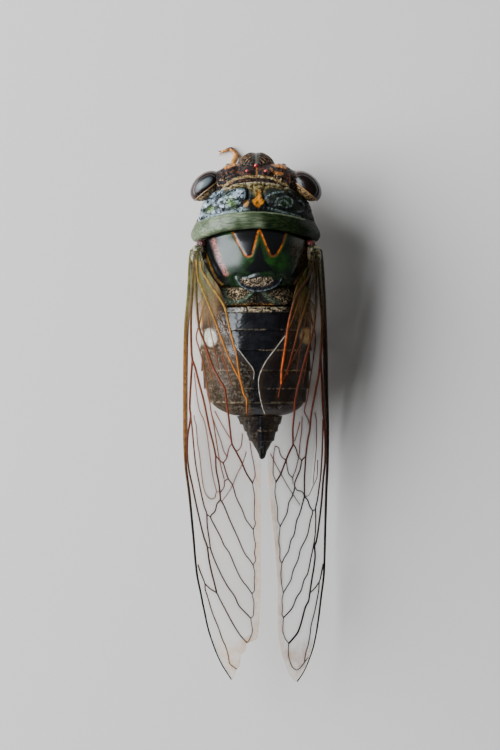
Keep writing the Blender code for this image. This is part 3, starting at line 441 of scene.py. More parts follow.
# Edges of each wing seen from above: y, x. A front edge is the costa down to where it starts
FOREWING_FRONT = {
    "left": [
        (-19.0, -5.33), (-20.0, -5.1), (-21.7, -4.7), (-23.3, -4.15), (-25.0, -3.4), (-26.6, -2.4),
    ],
    "right": [
        (-19.0, 6.46), (-20.0, 6.32), (-21.7, 6.05), (-23.3, 5.7), (-24.9, 5.12), (-26.0, 4.6),
        (-26.8, 4.05),
    ],
}
FOREWING_HIND = {
    "left": [
        (16.6, -5.5), (15.5, -5.25), (13.9, -4.45), (12.7, -3.65), (10.3, -2.75), (8.0, -2.3), (6.0, -1.8),
        (3.4, -1.25), (1.7, -0.75), (0.1, -0.2), (-1.5, 0.2), (-5.0, 0.45), (-16.0, 0.45), (-19.5, 0.38),
        (-21.5, 0.25), (-22.35, 0.08), (-22.62, -0.35), (-22.85, -0.95), (-23.6, -1.05), (-24.1, -1.5),
        (-25.2, -1.62), (-25.7, -2.0), (-26.6, -2.25),
    ],
    "right": [
        (16.6, 5.6), (15.7, 5.4), (14.0, 4.65), (12.8, 4.0), (10.5, 3.4), (8.0, 2.85), (5.4, 2.45),
        (3.1, 2.2), (1.8, 1.9), (0.0, 1.5), (-2.5, 1.2), (-5.0, 1.15), (-8.7, 1.38), (-11.5, 1.71),
        (-14.2, 1.95), (-16.8, 2.13), (-20.4, 2.15), (-22.0, 2.25), (-23.4, 2.45), (-24.3, 2.7),
        (-25.5, 3.12), (-26.3, 3.5), (-26.8, 3.9),
    ],
}
# Edges of the left hindwing, which the right one mirrors. The first place lies far ahead of it,
# so that none of its front edge is the costa
HINDWING_FRONT = [
    (50.0, 0.0), (12.3, -4.9), (10.5, -6.1), (8.0, -6.2), (4.0, -6.25), (0.5, -6.2), (-2.0, -6.1),
    (-4.5, -5.75), (-6.8, -5.5), (-8.5, -5.0), (-9.2, -4.5),
]
HINDWING_HIND = [
    (12.3, -4.1), (10.8, -3.5), (9.0, -3.1), (7.4, -2.4), (6.2, -1.5), (4.8, -0.5), (3.6, -0.15),
    (1.5, -0.5), (-1.0, -0.7), (-3.7, -1.0), (-5.8, -1.6), (-7.3, -2.3), (-8.7, -3.4), (-9.2, -4.1),
]

# Veins seen from above: half width at the root and at the tip, then x, y along each
FOREWING_VEINS = {
    "left": [
        (0.17, 0.14, [(-6.0, 16.3), (-6.3, 13.0), (-6.5, 9.0), (-6.45, 6.3), (-6.36, 5.5)]),
        (0.14, 0.1, [(-6.36, 5.5), (-6.51, 3.6), (-6.66, 0.6), (-6.57, 0.0), (-6.7, -1.0), (-6.9, -2.1),
            (-6.98, -3.7), (-6.81, -5.6), (-6.51, -7.0), (-5.85, -10.0), (-5.22, -12.5), (-4.92, -13.3),
            (-4.74, -14.6), (-4.44, -16.0), (-4.2, -16.9), (-3.96, -17.9)]),
        (0.1, 0.07, [(-6.57, 0.0), (-6.4, -1.6), (-6.1, -4.8), (-5.7, -7.0), (-5.22, -9.2), (-4.95, -10.0),
            (-4.92, -10.9), (-4.68, -12.7), (-4.59, -13.4), (-4.32, -14.2), (-3.6, -15.8), (-2.88, -17.1),
            (-2.1, -18.2), (-1.74, -19.0), (-0.9, -19.9), (-0.51, -20.3)]),
        (0.13, 0.1, [(-6.36, 5.5), (-6.06, 4.7), (-5.76, 3.5), (-5.22, 1.5), (-4.6, -1.5), (-4.17, -3.2),
            (-4.02, -4.0)]),
        (0.09, 0.09, [(-4.02, -4.0), (-4.0, -5.0), (-3.66, -7.1), (-3.54, -8.45)]),
        (0.08, 0.06, [(-3.54, -8.45), (-3.9, -8.9), (-4.08, -9.6), (-4.56, -10.24), (-4.2, -11.0),
            (-3.5, -12.3), (-3.2, -13.0), (-2.7, -13.7), (-2.04, -15.2), (-1.5, -16.3), (-0.72, -17.3),
            (-0.39, -17.8)]),
        (0.08, 0.06, [(-3.54, -8.45), (-3.36, -8.7), (-2.58, -10.5), (-1.8, -12.2), (-1.08, -13.8),
            (-0.6, -14.4), (-0.27, -14.9)]),
        (0.08, 0.06, [(-4.02, -4.0), (-3.6, -4.5), (-3.27, -4.76), (-3.03, -5.5), (-2.76, -6.3),
            (-2.34, -6.9), (-1.98, -8.1), (-1.32, -9.5), (-1.02, -10.3), (-0.66, -10.8), (-0.27, -11.3)]),
        (0.06, 0.06, [(-2.76, -6.3), (-3.15, -6.6), (-3.15, -7.0), (-3.33, -7.4), (-3.56, -7.7)]),
        (0.07, 0.06, [(-3.27, -4.76), (-2.91, -4.2), (-2.7, -3.3), (-2.4, -2.75)]),
        (0.07, 0.06, [(-4.95, -10.0), (-4.75, -10.15), (-4.56, -10.24)]),
        (0.06, 0.06, [(-4.92, -13.33), (-4.75, -13.4), (-4.6, -13.42)]),
        (0.14, 0.09, [(-6.0, 15.6), (-5.95, 12.5), (-5.7, 9.0), (-5.04, 7.0), (-4.32, 4.9), (-3.6, 3.5),
            (-3.06, 2.5), (-2.94, 1.5), (-2.79, 0.5), (-2.58, -1.3), (-2.4, -2.75), (-1.98, -3.56),
            (-1.44, -4.6), (-0.96, -5.7), (-0.33, -6.7)]),
        (0.06, 0.05, [(-1.98, -3.56), (-1.62, -3.3), (-1.41, -2.7), (-1.35, -1.8)]),
        (0.1, 0.08, [(-5.88, -15.36), (-5.7, -15.9), (-5.4, -16.56), (-5.16, -17.16)]),
        (0.08, 0.07, [(-5.16, -17.16), (-4.62, -17.6), (-3.96, -17.95), (-3.66, -18.5), (-3.0, -19.7),
            (-2.34, -20.9), (-1.56, -22.1), (-0.9, -22.8)]),
        (0.08, 0.06, [(-5.16, -17.16), (-5.16, -17.6), (-4.92, -18.4), (-4.38, -20.1), (-3.78, -21.5),
            (-3.36, -22.7), (-3.06, -23.3), (-2.77, -24.3), (-2.66, -24.97), (-1.95, -25.55)]),
        (0.05, 0.05, [(-0.6, -2.6), (-0.45, -3.7), (-0.24, -4.7), (-0.09, -5.9), (-0.33, -6.74),
            (-0.15, -8.0), (-0.18, -10.0), (-0.06, -10.7), (-0.27, -11.3), (-0.21, -12.0), (-0.06, -12.8),
            (-0.15, -13.7), (-0.03, -14.3), (-0.27, -14.9), (-0.12, -15.7), (-0.18, -16.5), (-0.15, -17.4),
            (-0.39, -17.8), (-0.21, -18.7), (-0.27, -20.0), (-0.51, -20.3), (-0.36, -21.5), (-0.66, -22.5),
            (-0.9, -22.8)]),
    ],
    "right": [
        (0.17, 0.14, [(6.0, 16.3), (6.35, 13.0), (6.6, 9.0), (6.5, 6.5), (6.45, 5.8)]),
        (0.14, 0.1, [(6.45, 5.8), (6.65, 3.0), (6.75, 0.5), (6.9, -0.8), (7.05, -3.5), (7.0, -5.0),
            (6.84, -6.5), (6.69, -8.5), (6.36, -11.2), (6.06, -12.9), (5.91, -13.2), (5.97, -14.2),
            (5.88, -15.1), (5.61, -16.7), (5.49, -17.5), (5.4, -18.1), (5.31, -18.7), (4.98, -19.3),
            (4.56, -20.8), (4.2, -21.8), (3.72, -22.4), (3.27, -22.9)]),
        (0.1, 0.07, [(6.75, -0.5), (6.72, -2.6), (6.54, -6.2), (6.39, -7.3), (6.18, -8.7), (6.0, -9.5),
            (6.03, -10.6), (6.0, -11.7), (5.79, -13.2), (5.52, -14.4), (5.16, -16.0), (4.83, -16.5),
            (4.5, -17.6), (4.08, -18.2), (3.6, -19.3), (3.24, -19.7), (2.75, -20.2)]),
        (0.13, 0.1, [(6.45, 5.8), (6.3, 4.2), (5.88, 2.1), (5.46, -0.2), (5.34, -1.5), (5.13, -2.6),
            (4.95, -4.1)]),
        (0.09, 0.09, [(4.95, -4.1), (4.89, -5.3), (4.83, -6.5), (4.83, -8.14)]),
        (0.08, 0.06, [(4.83, -8.14), (5.16, -8.5), (5.4, -9.2), (5.7, -9.7), (5.46, -10.6), (5.34, -11.2),
            (5.22, -11.8), (5.04, -12.3), (4.41, -13.5), (4.23, -14.3), (3.66, -15.6), (3.48, -16.4),
            (3.12, -17.0), (2.7, -17.7)]),
        (0.08, 0.06, [(4.83, -8.14), (4.68, -8.7), (4.32, -9.9), (4.05, -10.5), (3.78, -11.9),
            (3.48, -12.4), (3.21, -13.5), (2.82, -14.1), (2.55, -14.7)]),
        (0.08, 0.06, [(4.95, -4.1), (4.56, -4.5), (4.38, -5.4), (4.08, -6.1), (3.81, -6.9), (3.84, -7.1),
            (3.6, -8.0), (3.24, -8.7), (3.09, -9.6), (2.76, -10.3), (2.37, -11.0)]),
        (0.06, 0.06, [(3.84, -7.1), (4.14, -7.5), (4.47, -7.55), (4.83, -7.95)]),
        (0.07, 0.06, [(3.66, -2.8), (3.96, -3.3), (4.2, -4.1), (4.56, -4.5)]),
        (0.07, 0.06, [(6.0, -9.5), (5.85, -9.6), (5.7, -9.7)]),
        (0.14, 0.09, [(6.0, 15.6), (5.98, 12.5), (5.85, 9.5), (5.3, 7.0), (4.7, 4.9), (4.1, 2.6),
            (3.85, 1.3), (3.78, 0.2), (3.63, -1.6), (3.66, -2.8), (3.3, -3.6), (2.97, -4.4), (2.7, -5.1),
            (2.43, -5.8), (1.95, -6.6)]),
        (0.12, 0.08, [(5.9, 15.4), (5.76, 13.6), (5.45, 12.7), (4.9, 10.8), (4.3, 8.8), (3.6, 6.2),
            (3.0, 4.2), (2.49, 3.1), (2.2, 1.8)]),
        (0.06, 0.05, [(2.97, -4.4), (2.64, -4.2), (2.34, -3.7), (2.25, -3.2), (1.89, -3.0)]),
        (0.06, 0.05, [(2.97, -4.4), (3.06, -5.0), (3.24, -5.8), (3.63, -6.2)]),
        (0.1, 0.08, [(6.9, -15.3), (6.72, -15.9), (6.54, -16.7), (6.42, -17.0)]),
        (0.08, 0.07, [(6.42, -17.0), (6.0, -17.5), (5.49, -17.9)]),
        (0.08, 0.06, [(6.42, -17.0), (6.39, -17.7), (6.24, -18.6), (5.88, -20.2), (5.55, -21.4),
            (5.46, -22.2), (5.22, -23.4), (5.04, -23.9), (4.89, -24.9)]),
        (0.05, 0.05, [(1.89, -3.0), (1.74, -3.9), (1.68, -5.7), (1.95, -6.6), (1.86, -7.5), (2.13, -9.4),
            (2.13, -10.3), (2.37, -11.0), (2.25, -12.5), (2.37, -13.3), (2.34, -14.2), (2.55, -14.7),
            (2.46, -15.7), (2.55, -16.8), (2.7, -17.7), (2.58, -18.4), (2.64, -19.3), (2.58, -19.9),
            (2.73, -20.2), (2.67, -21.4), (2.94, -22.4), (3.27, -22.9), (3.24, -23.9), (3.43, -24.8),
            (3.72, -25.4), (4.12, -25.67), (4.45, -25.45), (4.89, -24.94), (5.3, -24.5)]),
    ],
}
ANAL_VEINS = {
    "left": [
        (0.14, 0.09, [(-5.9, 15.4), (-5.76, 13.6), (-5.4, 12.7), (-4.62, 10.8), (-3.84, 8.8), (-2.88, 6.2),
            (-2.1, 4.5), (-1.5, 3.3), (-1.2, 2.1), (-0.9, 1.5), (-0.9, 0.2)]),
        (0.15, 0.09, [(-5.5, 15.2), (-5.4, 14.5), (-4.98, 13.7), (-4.44, 12.8), (-3.48, 11.4),
            (-3.06, 10.6), (-2.7, 9.0), (-2.28, 7.3), (-1.86, 5.6), (-1.68, 4.2), (-1.5, 3.4)]),
    ],
    "right": [
        (0.16, 0.11, [(5.6, 15.2), (5.2, 13.8), (4.46, 12.6), (3.9, 11.6), (3.54, 10.4), (3.21, 9.0),
            (2.94, 7.2), (2.67, 5.4), (2.52, 4.3), (2.49, 3.1)]),
    ],
}
# The last of each side is the pale hind margin
HINDWING_VEINS = {
    "left": [
        (0.07, 0.04, [(-5.1, 11.8), (-5.3, 9.5), (-5.2, 7.5), (-4.8, 5.4), (-4.4, 3.6)]),
        (0.07, 0.04, [(-4.7, 11.9), (-4.3, 9.8), (-3.8, 7.9), (-3.2, 5.8), (-2.8, 4.2)]),
        (0.07, 0.04, [(-4.9, 11.9), (-4.8, 10.0), (-4.5, 8.3), (-4.0, 6.2), (-3.7, 4.6)]),
        (0.06, 0.04, [(-4.4, 12.0), (-3.8, 10.3), (-3.1, 8.7), (-2.5, 7.4)]),
        (0.09, 0.06, [(-5.2, 11.0), (-5.7, 9.0), (-6.0, 7.8), (-5.7, 6.7), (-5.4, 5.6), (-5.05, 4.0),
            (-4.7, 1.8), (-4.44, 0.1), (-4.26, -0.7), (-3.96, -2.6), (-3.66, -4.4), (-3.18, -6.4)]),
        (0.06, 0.05, [(-6.24, 4.2), (-6.0, 2.2), (-5.7, 0.5), (-5.16, -0.7), (-4.9, -2.0), (-4.74, -3.2),
            (-4.32, -6.2), (-3.93, -7.76)]),
        (0.06, 0.05, [(-6.54, -0.1), (-6.06, -1.04), (-5.9, -2.9), (-5.7, -4.1), (-5.4, -6.8),
            (-5.16, -7.85), (-4.5, -8.5), (-4.14, -8.35), (-3.96, -7.75), (-3.54, -7.7)]),
        (0.06, 0.05, [(-4.4, 0.0), (-3.9, -1.5), (-3.5, -2.6), (-3.2, -3.6), (-2.9, -4.1)]),
        (0.06, 0.05, [(-4.1, 0.4), (-3.6, -0.56), (-3.0, -1.6), (-2.5, -2.4)]),
        (0.05, 0.05, [(-4.3, 7.3), (-3.9, 5.8), (-3.54, 5.8), (-3.06, 4.8), (-2.4, 3.0)]),
        (0.05, 0.04, [(-0.96, -3.6), (-1.23, -4.5), (-1.9, -5.9), (-2.5, -7.3), (-3.5, -8.8)]),
        (0.05, 0.04, [(-2.1, 7.0), (-1.5, 6.2), (-0.9, 5.4), (-0.42, 4.8), (-0.18, 4.2), (-0.25, 3.6)]),
    ],
    "right": [
        (0.07, 0.04, [(5.1, 11.8), (5.4, 9.5), (5.35, 7.5), (5.0, 5.0), (4.7, 3.2)]),
        (0.07, 0.04, [(4.7, 11.9), (4.4, 9.8), (4.0, 7.9), (3.5, 5.8), (3.1, 4.0)]),
        (0.07, 0.04, [(4.9, 11.9), (4.95, 10.0), (4.7, 8.3), (4.3, 6.2), (4.0, 4.2)]),
        (0.06, 0.04, [(4.4, 12.0), (3.9, 10.3), (3.3, 8.7), (2.8, 7.4)]),
        (0.09, 0.06, [(5.2, 11.0), (5.7, 9.0), (6.0, 7.8), (5.8, 6.0), (5.5, 4.0), (5.1, 1.5), (4.83, 0.4),
            (5.2, -0.4), (5.34, -0.9)]),
        (0.06, 0.05, [(4.6, -0.2), (4.56, -1.4), (4.38, -2.9), (4.32, -3.8), (4.14, -4.7), (3.9, -5.6),
            (3.66, -6.2), (3.69, -6.8)]),
        (0.06, 0.05, [(5.94, 0.2), (6.15, -0.8), (6.15, -2.6), (5.94, -5.3), (5.79, -7.0)]),
        (0.06, 0.05, [(6.39, -4.7), (6.3, -6.2), (6.12, -6.7), (5.82, -7.2), (5.16, -8.2), (4.83, -8.14)]),
        (0.06, 0.05, [(4.38, -0.7), (4.14, -1.6), (3.84, -2.6)]),
        (0.05, 0.05, [(4.8, 8.2), (4.62, 7.5), (4.08, 6.4), (3.6, 5.4), (3.18, 4.6)]),
        (0.05, 0.04, [(1.44, -3.8), (1.92, -4.8), (2.46, -5.8), (3.24, -7.2), (4.4, -9.0)]),
        (0.06, 0.04, [(2.88, 7.86), (1.92, 6.6), (0.96, 5.3), (0.6, 4.6), (0.36, 4.0), (0.24, 3.3),
            (0.3, 2.5), (0.66, 0.7), (0.9, 0.1)]),
    ],
}
# -y and half width along the stout front edge, which thins at its node
COSTA_HALF = [(-16.4, 0.34), (-15.0, 0.27), (3.1, 0.243), (4.3, 0.1495), (20.0, 0.104), (26.4, 0.06)]
COSTA_TOP = 0.25         # height of the front edge's upper side above the sheet
FILM = 0.06              # thickness of a wing's film
FILM_SWELL = 0.08        # how far it swells between veins
FOREWING_GRID, HINDWING_GRID = (200, 90), (110, 70)
FILM_MASKS = ("near_vein", "border", "root")


def read(stations, at):
    """Each column of the stations at positions in an array of any shape."""
    return [column.reshape(np.shape(at)) for column in through(stations, np.ravel(at)).T]


def arch(side, y, drop):
    """Crest x, costa z, half span, rise and flatness of one side's arch at each y."""
    costa_x, crest_x, costa_z, crest_z = read(ROOFS[side], y)
    span = costa_x - crest_x
    flatness, = read(ROOF_FLATNESS, y)
    return crest_x, costa_z, span - np.sign(span) * drop, crest_z - costa_z - drop, flatness


def arch_shares(flatness, turn):
    """Shares of the half span and of the rise at an angle: a quarter of an ellipse, drawn
    towards the straight line between its ends by the flatness, and level past the crest."""
    bent = np.clip(turn, 0.0, np.pi / 2)
    straight = bent / (np.pi / 2)
    across = (1 - flatness) * np.cos(bent) + flatness * (1 - straight)
    up = (1 - flatness) * np.sin(bent) + flatness * straight
    return across - np.maximum(turn - np.pi / 2, 0.0), up


def on_roof(side, y, turn, drop):
    """Points of a wing's sheet at each y and angle from the costa."""
    crest_x, costa_z, span, rise, flatness = arch(side, y, drop)
    across, up = arch_shares(flatness, turn)
    return np.stack([crest_x + span * across, y, costa_z + rise * up], axis=-1)


def turn_at(side, x, y, drop):
    """The angle at which the sheet passes over x, by repeated steps down the arch's slope."""
    crest_x, _, span, _, flatness = arch(side, y, drop)
    share = np.minimum((x - crest_x) / span, 1.0)
    turn = np.where(share > 0, np.arccos(np.clip(share, 0.0, 1.0)), np.pi / 2 - share)
    for _ in range(12):
        across = arch_shares(flatness, turn)[0]
        slope = -(1 - flatness) * np.sin(np.clip(turn, 0.0, np.pi / 2)) - flatness * 2 / np.pi
        turn = np.where(share > 0, turn - (across - share) / np.minimum(slope, -0.2), turn)
        turn = np.clip(turn, 0.0, None)
    return turn


def roof_normal(side, y, turn, drop):
    """Outward normals of a wing's sheet, across the ways that its two parameters run."""
    step = 0.02
    along_turn = on_roof(side, y, turn + step, drop) - on_roof(side, y, np.maximum(turn - step, 0.0), drop)
    along_y = on_roof(side, y + step, turn, drop) - on_roof(side, y - step, turn, drop)
    normal = np.cross(along_turn, along_y)
    normal /= np.linalg.norm(normal, axis=-1)[..., None]
    across, up = arch_shares(0.0, turn)
    out = normal[..., 0] * dict(SIDES)[side] * across + normal[..., 2] * up
    return normal * np.sign(out)[..., None]


def rods(side, veins, drop):
    """Veins as rods along their lines on the sheet, each a little wider than it is high."""
    made = []
    for root, tip, knots in veins:
        x, y = curve(knots, 0.18).T
        turn = turn_at(side, x, y, drop)
        half = np.linspace(root, tip, len(y))
        normal = roof_normal(side, y, turn, drop)
        made.append(tube(on_roof(side, y, turn, drop), half, half * 0.85, 8, normal))
    return made


def edge_turns(side, drop, front, hind, y):
    """Angles of a wing's front and hind edge at each y."""
    (front_x,), (hind_x,) = read(front, y), read(hind, y)
    front_turn = np.where(y > front[0][0], 0.0, turn_at(side, front_x, y, drop))
    return front_turn, turn_at(side, hind_x, y, drop)


def film(side, drop, front, hind, veins, grid):
    """A wing's film: at each y it runs from the front edge to the hind edge along the arch, and
    swells a little between veins. Masks: nearness to a vein or, on the forewing, to the hind
    rim; the tan border of the forewing; the root."""
    y = np.linspace(hind[0][0], hind[-1][0], grid[0])
    front_turn, hind_turn = edge_turns(side, drop, front, hind, y)
    share = np.linspace(0.0, 1.0, grid[1])[None]
    turn = front_turn[:, None] + (hind_turn - front_turn)[:, None] * share
    y = y[:, None] * np.ones_like(share)
    middle = on_roof(side, y, turn, drop)
    normal = roof_normal(side, y, turn, drop)
    x = middle[..., 0]
    gap = from_lines(x, y, [curve(knots, 0.5) for *_, knots in veins])
    swell = FILM_SWELL * (1 - hump(gap, 0.45)) * (0.6 + ripples(x * 1.5, y, 3, 5.0))
    middle = middle + normal * swell[..., None]
    x = middle[..., 0]
    rim = from_lines(x, y, [np.column_stack([x[:, -1], y[:, -1]])])
    rim_line = 0.55 * np.exp(-rim / 0.07) * smooth(y, -3.0, -6.0)
    near = np.maximum(np.exp(-gap / 0.16), rim_line * (drop == 0.0))
    border = np.maximum(smooth(rim, 0.75, 0.35) * smooth(y, -3.6, -6.0), smooth(y, -22.2, -24.0))
    root = smooth(y, 8.5, 13.5) * smooth(np.abs(x), 3.2, 4.6)
    return walled(middle, normal, FILM, np.dstack([near, border * (drop == 0.0), root]))


def costa(side):
    """The stout rod along the front edge down to its node, and the thin one on to the tip."""
    front = FOREWING_FRONT[side]
    y = np.linspace(16.4, front[-1][0], 260)
    turn, _ = edge_turns(side, 0.0, front, FOREWING_HIND[side], y)
    half = np.interp(-y, *np.transpose(COSTA_HALF))
    normal = roof_normal(side, y, turn, 0.0)
    middle = on_roof(side, y, turn, 0.0) + normal * (COSTA_TOP - half)[:, None]
    return tube(middle, half, half, 12, normal)


def film_finish(name, tint, hazy):
    """Clear film, brown by the veins, tan along its border, which is painted brighter on the right
    wing to make up for the shade there, creased olive at its root, and less clear where it is seen edge on."""
    film = Finish(name, tint, 0.2, Specular_IOR_Level=0.08)
    where = film.place()
    cloud = film.noise(where, 0.6, 4.0)
    folds = film.noise(film.place((1.0, 0.12, 1.0)), 2.2, 4.0, 0.4, 0.6)
    # Painted light: the border's tan is brighter on the right wing, to make up for the shade there
    right = film.spread(film.along(where, "X"), 0.0, 1.0)
    film.start(cloud, tint, tuple(share * 0.7 for share in tint))
    film.paint("near_vein", (0.05, 0.015, 0.005))
    film.paint("border", (0.36, 0.19, 0.06), (0.9, 0.5, 0.2), right)
    film.paint("root", (0.004, 0.004, 0.001), (0.06, 0.052, 0.012), folds)
    edge = film.add("LayerWeight", {"Blend": 0.3})["Facing"]
    creased = film.sums("ADD", film.times(folds, 0.3), 0.55)
    body = film.sums("ADD", film.times(edge, hazy), 0.01, film.times("near_vein", 0.16),
                     film.times("border", cloud, 0.16), film.times("border", 0.1),
                     film.times("root", creased))
    return film.done(film.noise(where, 3.0), 0.01, Alpha=film.sums("MINIMUM", body, 1.0))


def rod_finish(name, root, middle, tip, end=-11.0):
    """A vein's shell, whose colour changes from the root to the tip, which it has from y = end on."""
    rod = Finish(name, middle, 0.45, Specular_IOR_Level=0.12)
    where = rod.place()
    back = rod.along(where, "Y")
    grain = rod.noise(where, 2.5, 4.0)
    rod.start(rod.spread(back, 12.0, 5.0), root, middle)
    rod.paint(rod.spread(back, 2.5, end), tip)
    rod.paint((grain, 0.5), (0.012, 0.004, 0.002))
    return rod.done(grain, 0.03)


def wings():
    clear = film_finish("wing_film", (0.3, 0.16, 0.06), 0.07)
    under = film_finish("hindwing_film", (0.26, 0.16, 0.08), 0.05)
    brown = rod_finish("wing_vein", (0.07, 0.04, 0.005), (0.13, 0.018, 0.003), (0.012, 0.003, 0.001))
    rusty = rod_finish("hindwing_vein", (0.12, 0.06, 0.012), (0.2, 0.04, 0.008), (0.05, 0.008, 0.004))
    pale = rod_finish("hindwing_margin", (0.4, 0.36, 0.28), (0.42, 0.38, 0.32), (0.3, 0.24, 0.18))
    # The right anal vein is painted much darker at its root than the left one, as shade
    anal_shell = {
        "left": rod_finish("left_anal_vein", (0.24, 0.13, 0.014), (0.36, 0.11, 0.008),
                           (0.1, 0.02, 0.008), end=-1.0),
        "right": rod_finish("right_anal_vein", (0.05, 0.02, 0.006), (0.46, 0.07, 0.006),
                            (0.06, 0.025, 0.015), end=-1.0),
    }
    # The right costa is painted darker than the left, olive one, as shade
    edge_shell = {
        "left": rod_finish("olive_costa", (0.09, 0.08, 0.012), (0.2, 0.07, 0.006), (0.002, 0.001, 0.001)),
        "right": rod_finish("costa_painted_shade", (0.05, 0.03, 0.008), (0.03, 0.01, 0.004), (0.008, 0.003, 0.002)),
    }
    for side, sign in SIDES:
        node = f"forewing_{side}"
        veins, anal = FOREWING_VEINS[side], ANAL_VEINS[side]
        sheet = film(side, 0.0, FOREWING_FRONT[side], FOREWING_HIND[side], veins + anal, FOREWING_GRID)
        piece(f"{node}_film", [sheet], clear, [node], FILM_MASKS)
        piece(f"{node}_veins", rods(side, veins, 0.0), brown, [node])
        piece(f"{node}_anal_veins", rods(side, anal, 0.0), anal_shell[side], [node])
        piece(f"{node}_costa", [costa(side)], edge_shell[side], [node])
        node = f"hindwing_{side}"
        front, hind = ([(y, -sign * x) for y, x in edge] for edge in (HINDWING_FRONT, HINDWING_HIND))
        veins = HINDWING_VEINS[side]
        sheet = film(side, HINDWING_DROP, front, hind, veins, HINDWING_GRID)
        piece(f"{node}_film", [sheet], under, [node], FILM_MASKS)
        *inner, margin = rods(side, veins, HINDWING_DROP)
        piece(f"{node}_veins", inner, rusty, [node])
        piece(f"{node}_margin", [margin], pale, [node])


wings()


# Body shells: rings like the solids', with rounded ends, relief and drawn patterns

RING_POWER = 2.15        # 2 is an ellipse, more is boxier
BOW_REACH = 6.0          # half width at which a ring's ends lie back by its whole bow
CROWDING = 0.3           # how far the points of a ring crowd together on its upper side
CLOSING = np.array([0.0, 0.3, 0.6, 0.85])    # sizes of the rings that close each end

# Each row: y, middle x, half width, lowest z, widest z, highest z, bow of the ring
PRONOTUM_RINGS = [
    (23.25, 0.0, 4.6, 5.2, 7.4, 10.4, 2.1), (22.5, 0.0, 5.3, 4.6, 7.2, 10.95, 2.0),
    (21.3, 0.0, 5.75, 4.0, 7.0, 11.4, 1.5), (20.25, -0.05, 5.95, 3.6, 7.0, 11.75, 0.9),
    (20.0, -0.05, 6.1, 3.5, 7.0, 11.95, 0.9), (19.2, -0.05, 6.5, 3.4, 7.0, 12.15, 1.0),
    (18.45, -0.05, 6.15, 3.4, 7.0, 12.1, 1.15),
]
MESOTHORAX_RINGS = [
    (18.4, 0.05, 5.6, 3.3, 6.8, 11.85, 1.15), (17.0, 0.1, 5.65, 3.1, 6.6, 12.5, 0.9),
    (15.5, 0.1, 5.5, 3.0, 6.5, 12.75, 0.6), (14.0, 0.15, 5.3, 3.0, 6.4, 12.45, 0.3),
    (12.9, 0.2, 5.1, 3.1, 6.4, 11.6, 0.0), (12.15, 0.2, 5.0, 3.1, 6.3, 11.3, 0.0),
]
METATHORAX_RINGS = [
    (12.75, 0.2, 5.0, 3.1, 6.3, 11.35, 0.0), (11.7, 0.15, 5.1, 3.1, 6.2, 10.95, 0.0),
    (10.85, 0.1, 5.15, 3.1, 6.1, 10.9, 0.0),
]
ABDOMEN_RINGS = [
    (10.8, 0.05, 5.25, 3.2, 6.1, 10.85, 0.0), (8.5, 0.0, 5.5, 3.1, 6.0, 10.95, 0.0),
    (6.4, -0.02, 5.55, 3.0, 5.95, 10.9, 0.0), (4.4, 0.0, 5.45, 3.0, 5.8, 10.7, 0.0),
    (2.6, 0.05, 5.2, 3.0, 5.6, 10.3, 0.0), (1.2, 0.15, 4.75, 3.1, 5.5, 9.8, 0.0),
    (0.5, 0.25, 4.1, 3.3, 5.5, 9.2, 0.0), (-0.1, 0.3, 2.9, 3.7, 5.5, 8.4, 0.0),
]
TIP_RINGS = [
    (-0.1, 0.35, 2.4, 3.8, 5.6, 8.15, 0.0), (-1.4, 0.5, 1.75, 4.1, 5.6, 7.5, 0.0),
    (-2.8, 0.58, 1.1, 4.5, 5.5, 6.7, 0.0), (-3.7, 0.62, 0.5, 4.9, 5.4, 6.0, 0.0),
    (-4.4, 0.65, 0.25, 5.1, 5.35, 5.6, 0.0),
]
TERGITE_EDGES = [10.2, 8.44, 6.4, 4.4, 2.6, 1.23]   # y of each back plate's hind edge
TIP_EDGES = [-0.95, -1.7, -2.6]

# Rings and points round each of them
THORAX_GRID, METANOTUM_GRID, ABDOMEN_GRID, TIP_GRID = (220, 420), (90, 320), (330, 260), (130, 120)


def shell(rings, grid, rounding, relief, marks):
    """A closed shell through the rings. Round each ring x = half width · cos a and z = widest +
    reach · sin a, both to the power 2 / RING_POWER, and y goes back by the bow times
    (x / BOW_REACH)². Its ends are rounded off, and `relief` moves it along its normal. The
    mask after those of `marks` is its crown, 1 where it faces up and 0 on its steep sides."""
    front, back = rings[0][0], rings[-1][0]
    y = np.linspace(front, back, grid[0])
    in_end = np.clip(1 - np.minimum(front - y, y - back) / rounding, 0.0, 1.0)
    inset = rounding * (1 - np.sqrt(1 - in_end**2 * 0.98))
    share = np.concatenate([CLOSING, np.ones(grid[0]), CLOSING[::-1]])[:, None]
    y = np.pad(y, len(CLOSING), "edge")
    inset = np.pad(inset, len(CLOSING), "edge")[:, None]
    middle_x, half_width, low, middle, high, bow = (value[:, None] for value in through(rings, y).T)
    part = np.linspace(0.0, 1.0, grid[1], endpoint=False)[None]
    angle = 2 * np.pi * part - CROWDING * (np.sin(2 * np.pi * part - np.pi / 2) + 1)
    across, up = (np.sign(way) * np.abs(way) ** (2 / RING_POWER) for way in (np.cos(angle), np.sin(angle)))
    x = share * (half_width - inset) * across
    reach = np.where(up > 0, high - middle - inset, middle - low - inset)
    level = y[:, None] * np.ones_like(x)
    bowed = level - bow * (x / BOW_REACH) ** 2
    place = np.stack([middle_x + x, bowed, middle + share * reach * up], axis=-1)
    drawn_on = place[..., 0], place[..., 1], smooth(up, 0.0, 0.25) * np.ones_like(x), level
    place = place + normals(place) * (relief(*drawn_on) * smooth(share, 0.8, 1.0))[..., None]
    crown = smooth(normals(place)[..., 2], 0.35, 0.75)
    drawn_on = place[..., 0], place[..., 1], *drawn_on[2:]
    return lofted(np.dstack([place, *marks(*drawn_on), crown]))


# Pronotum: olive front band and collar, black lobes with green patches, orange hourglass

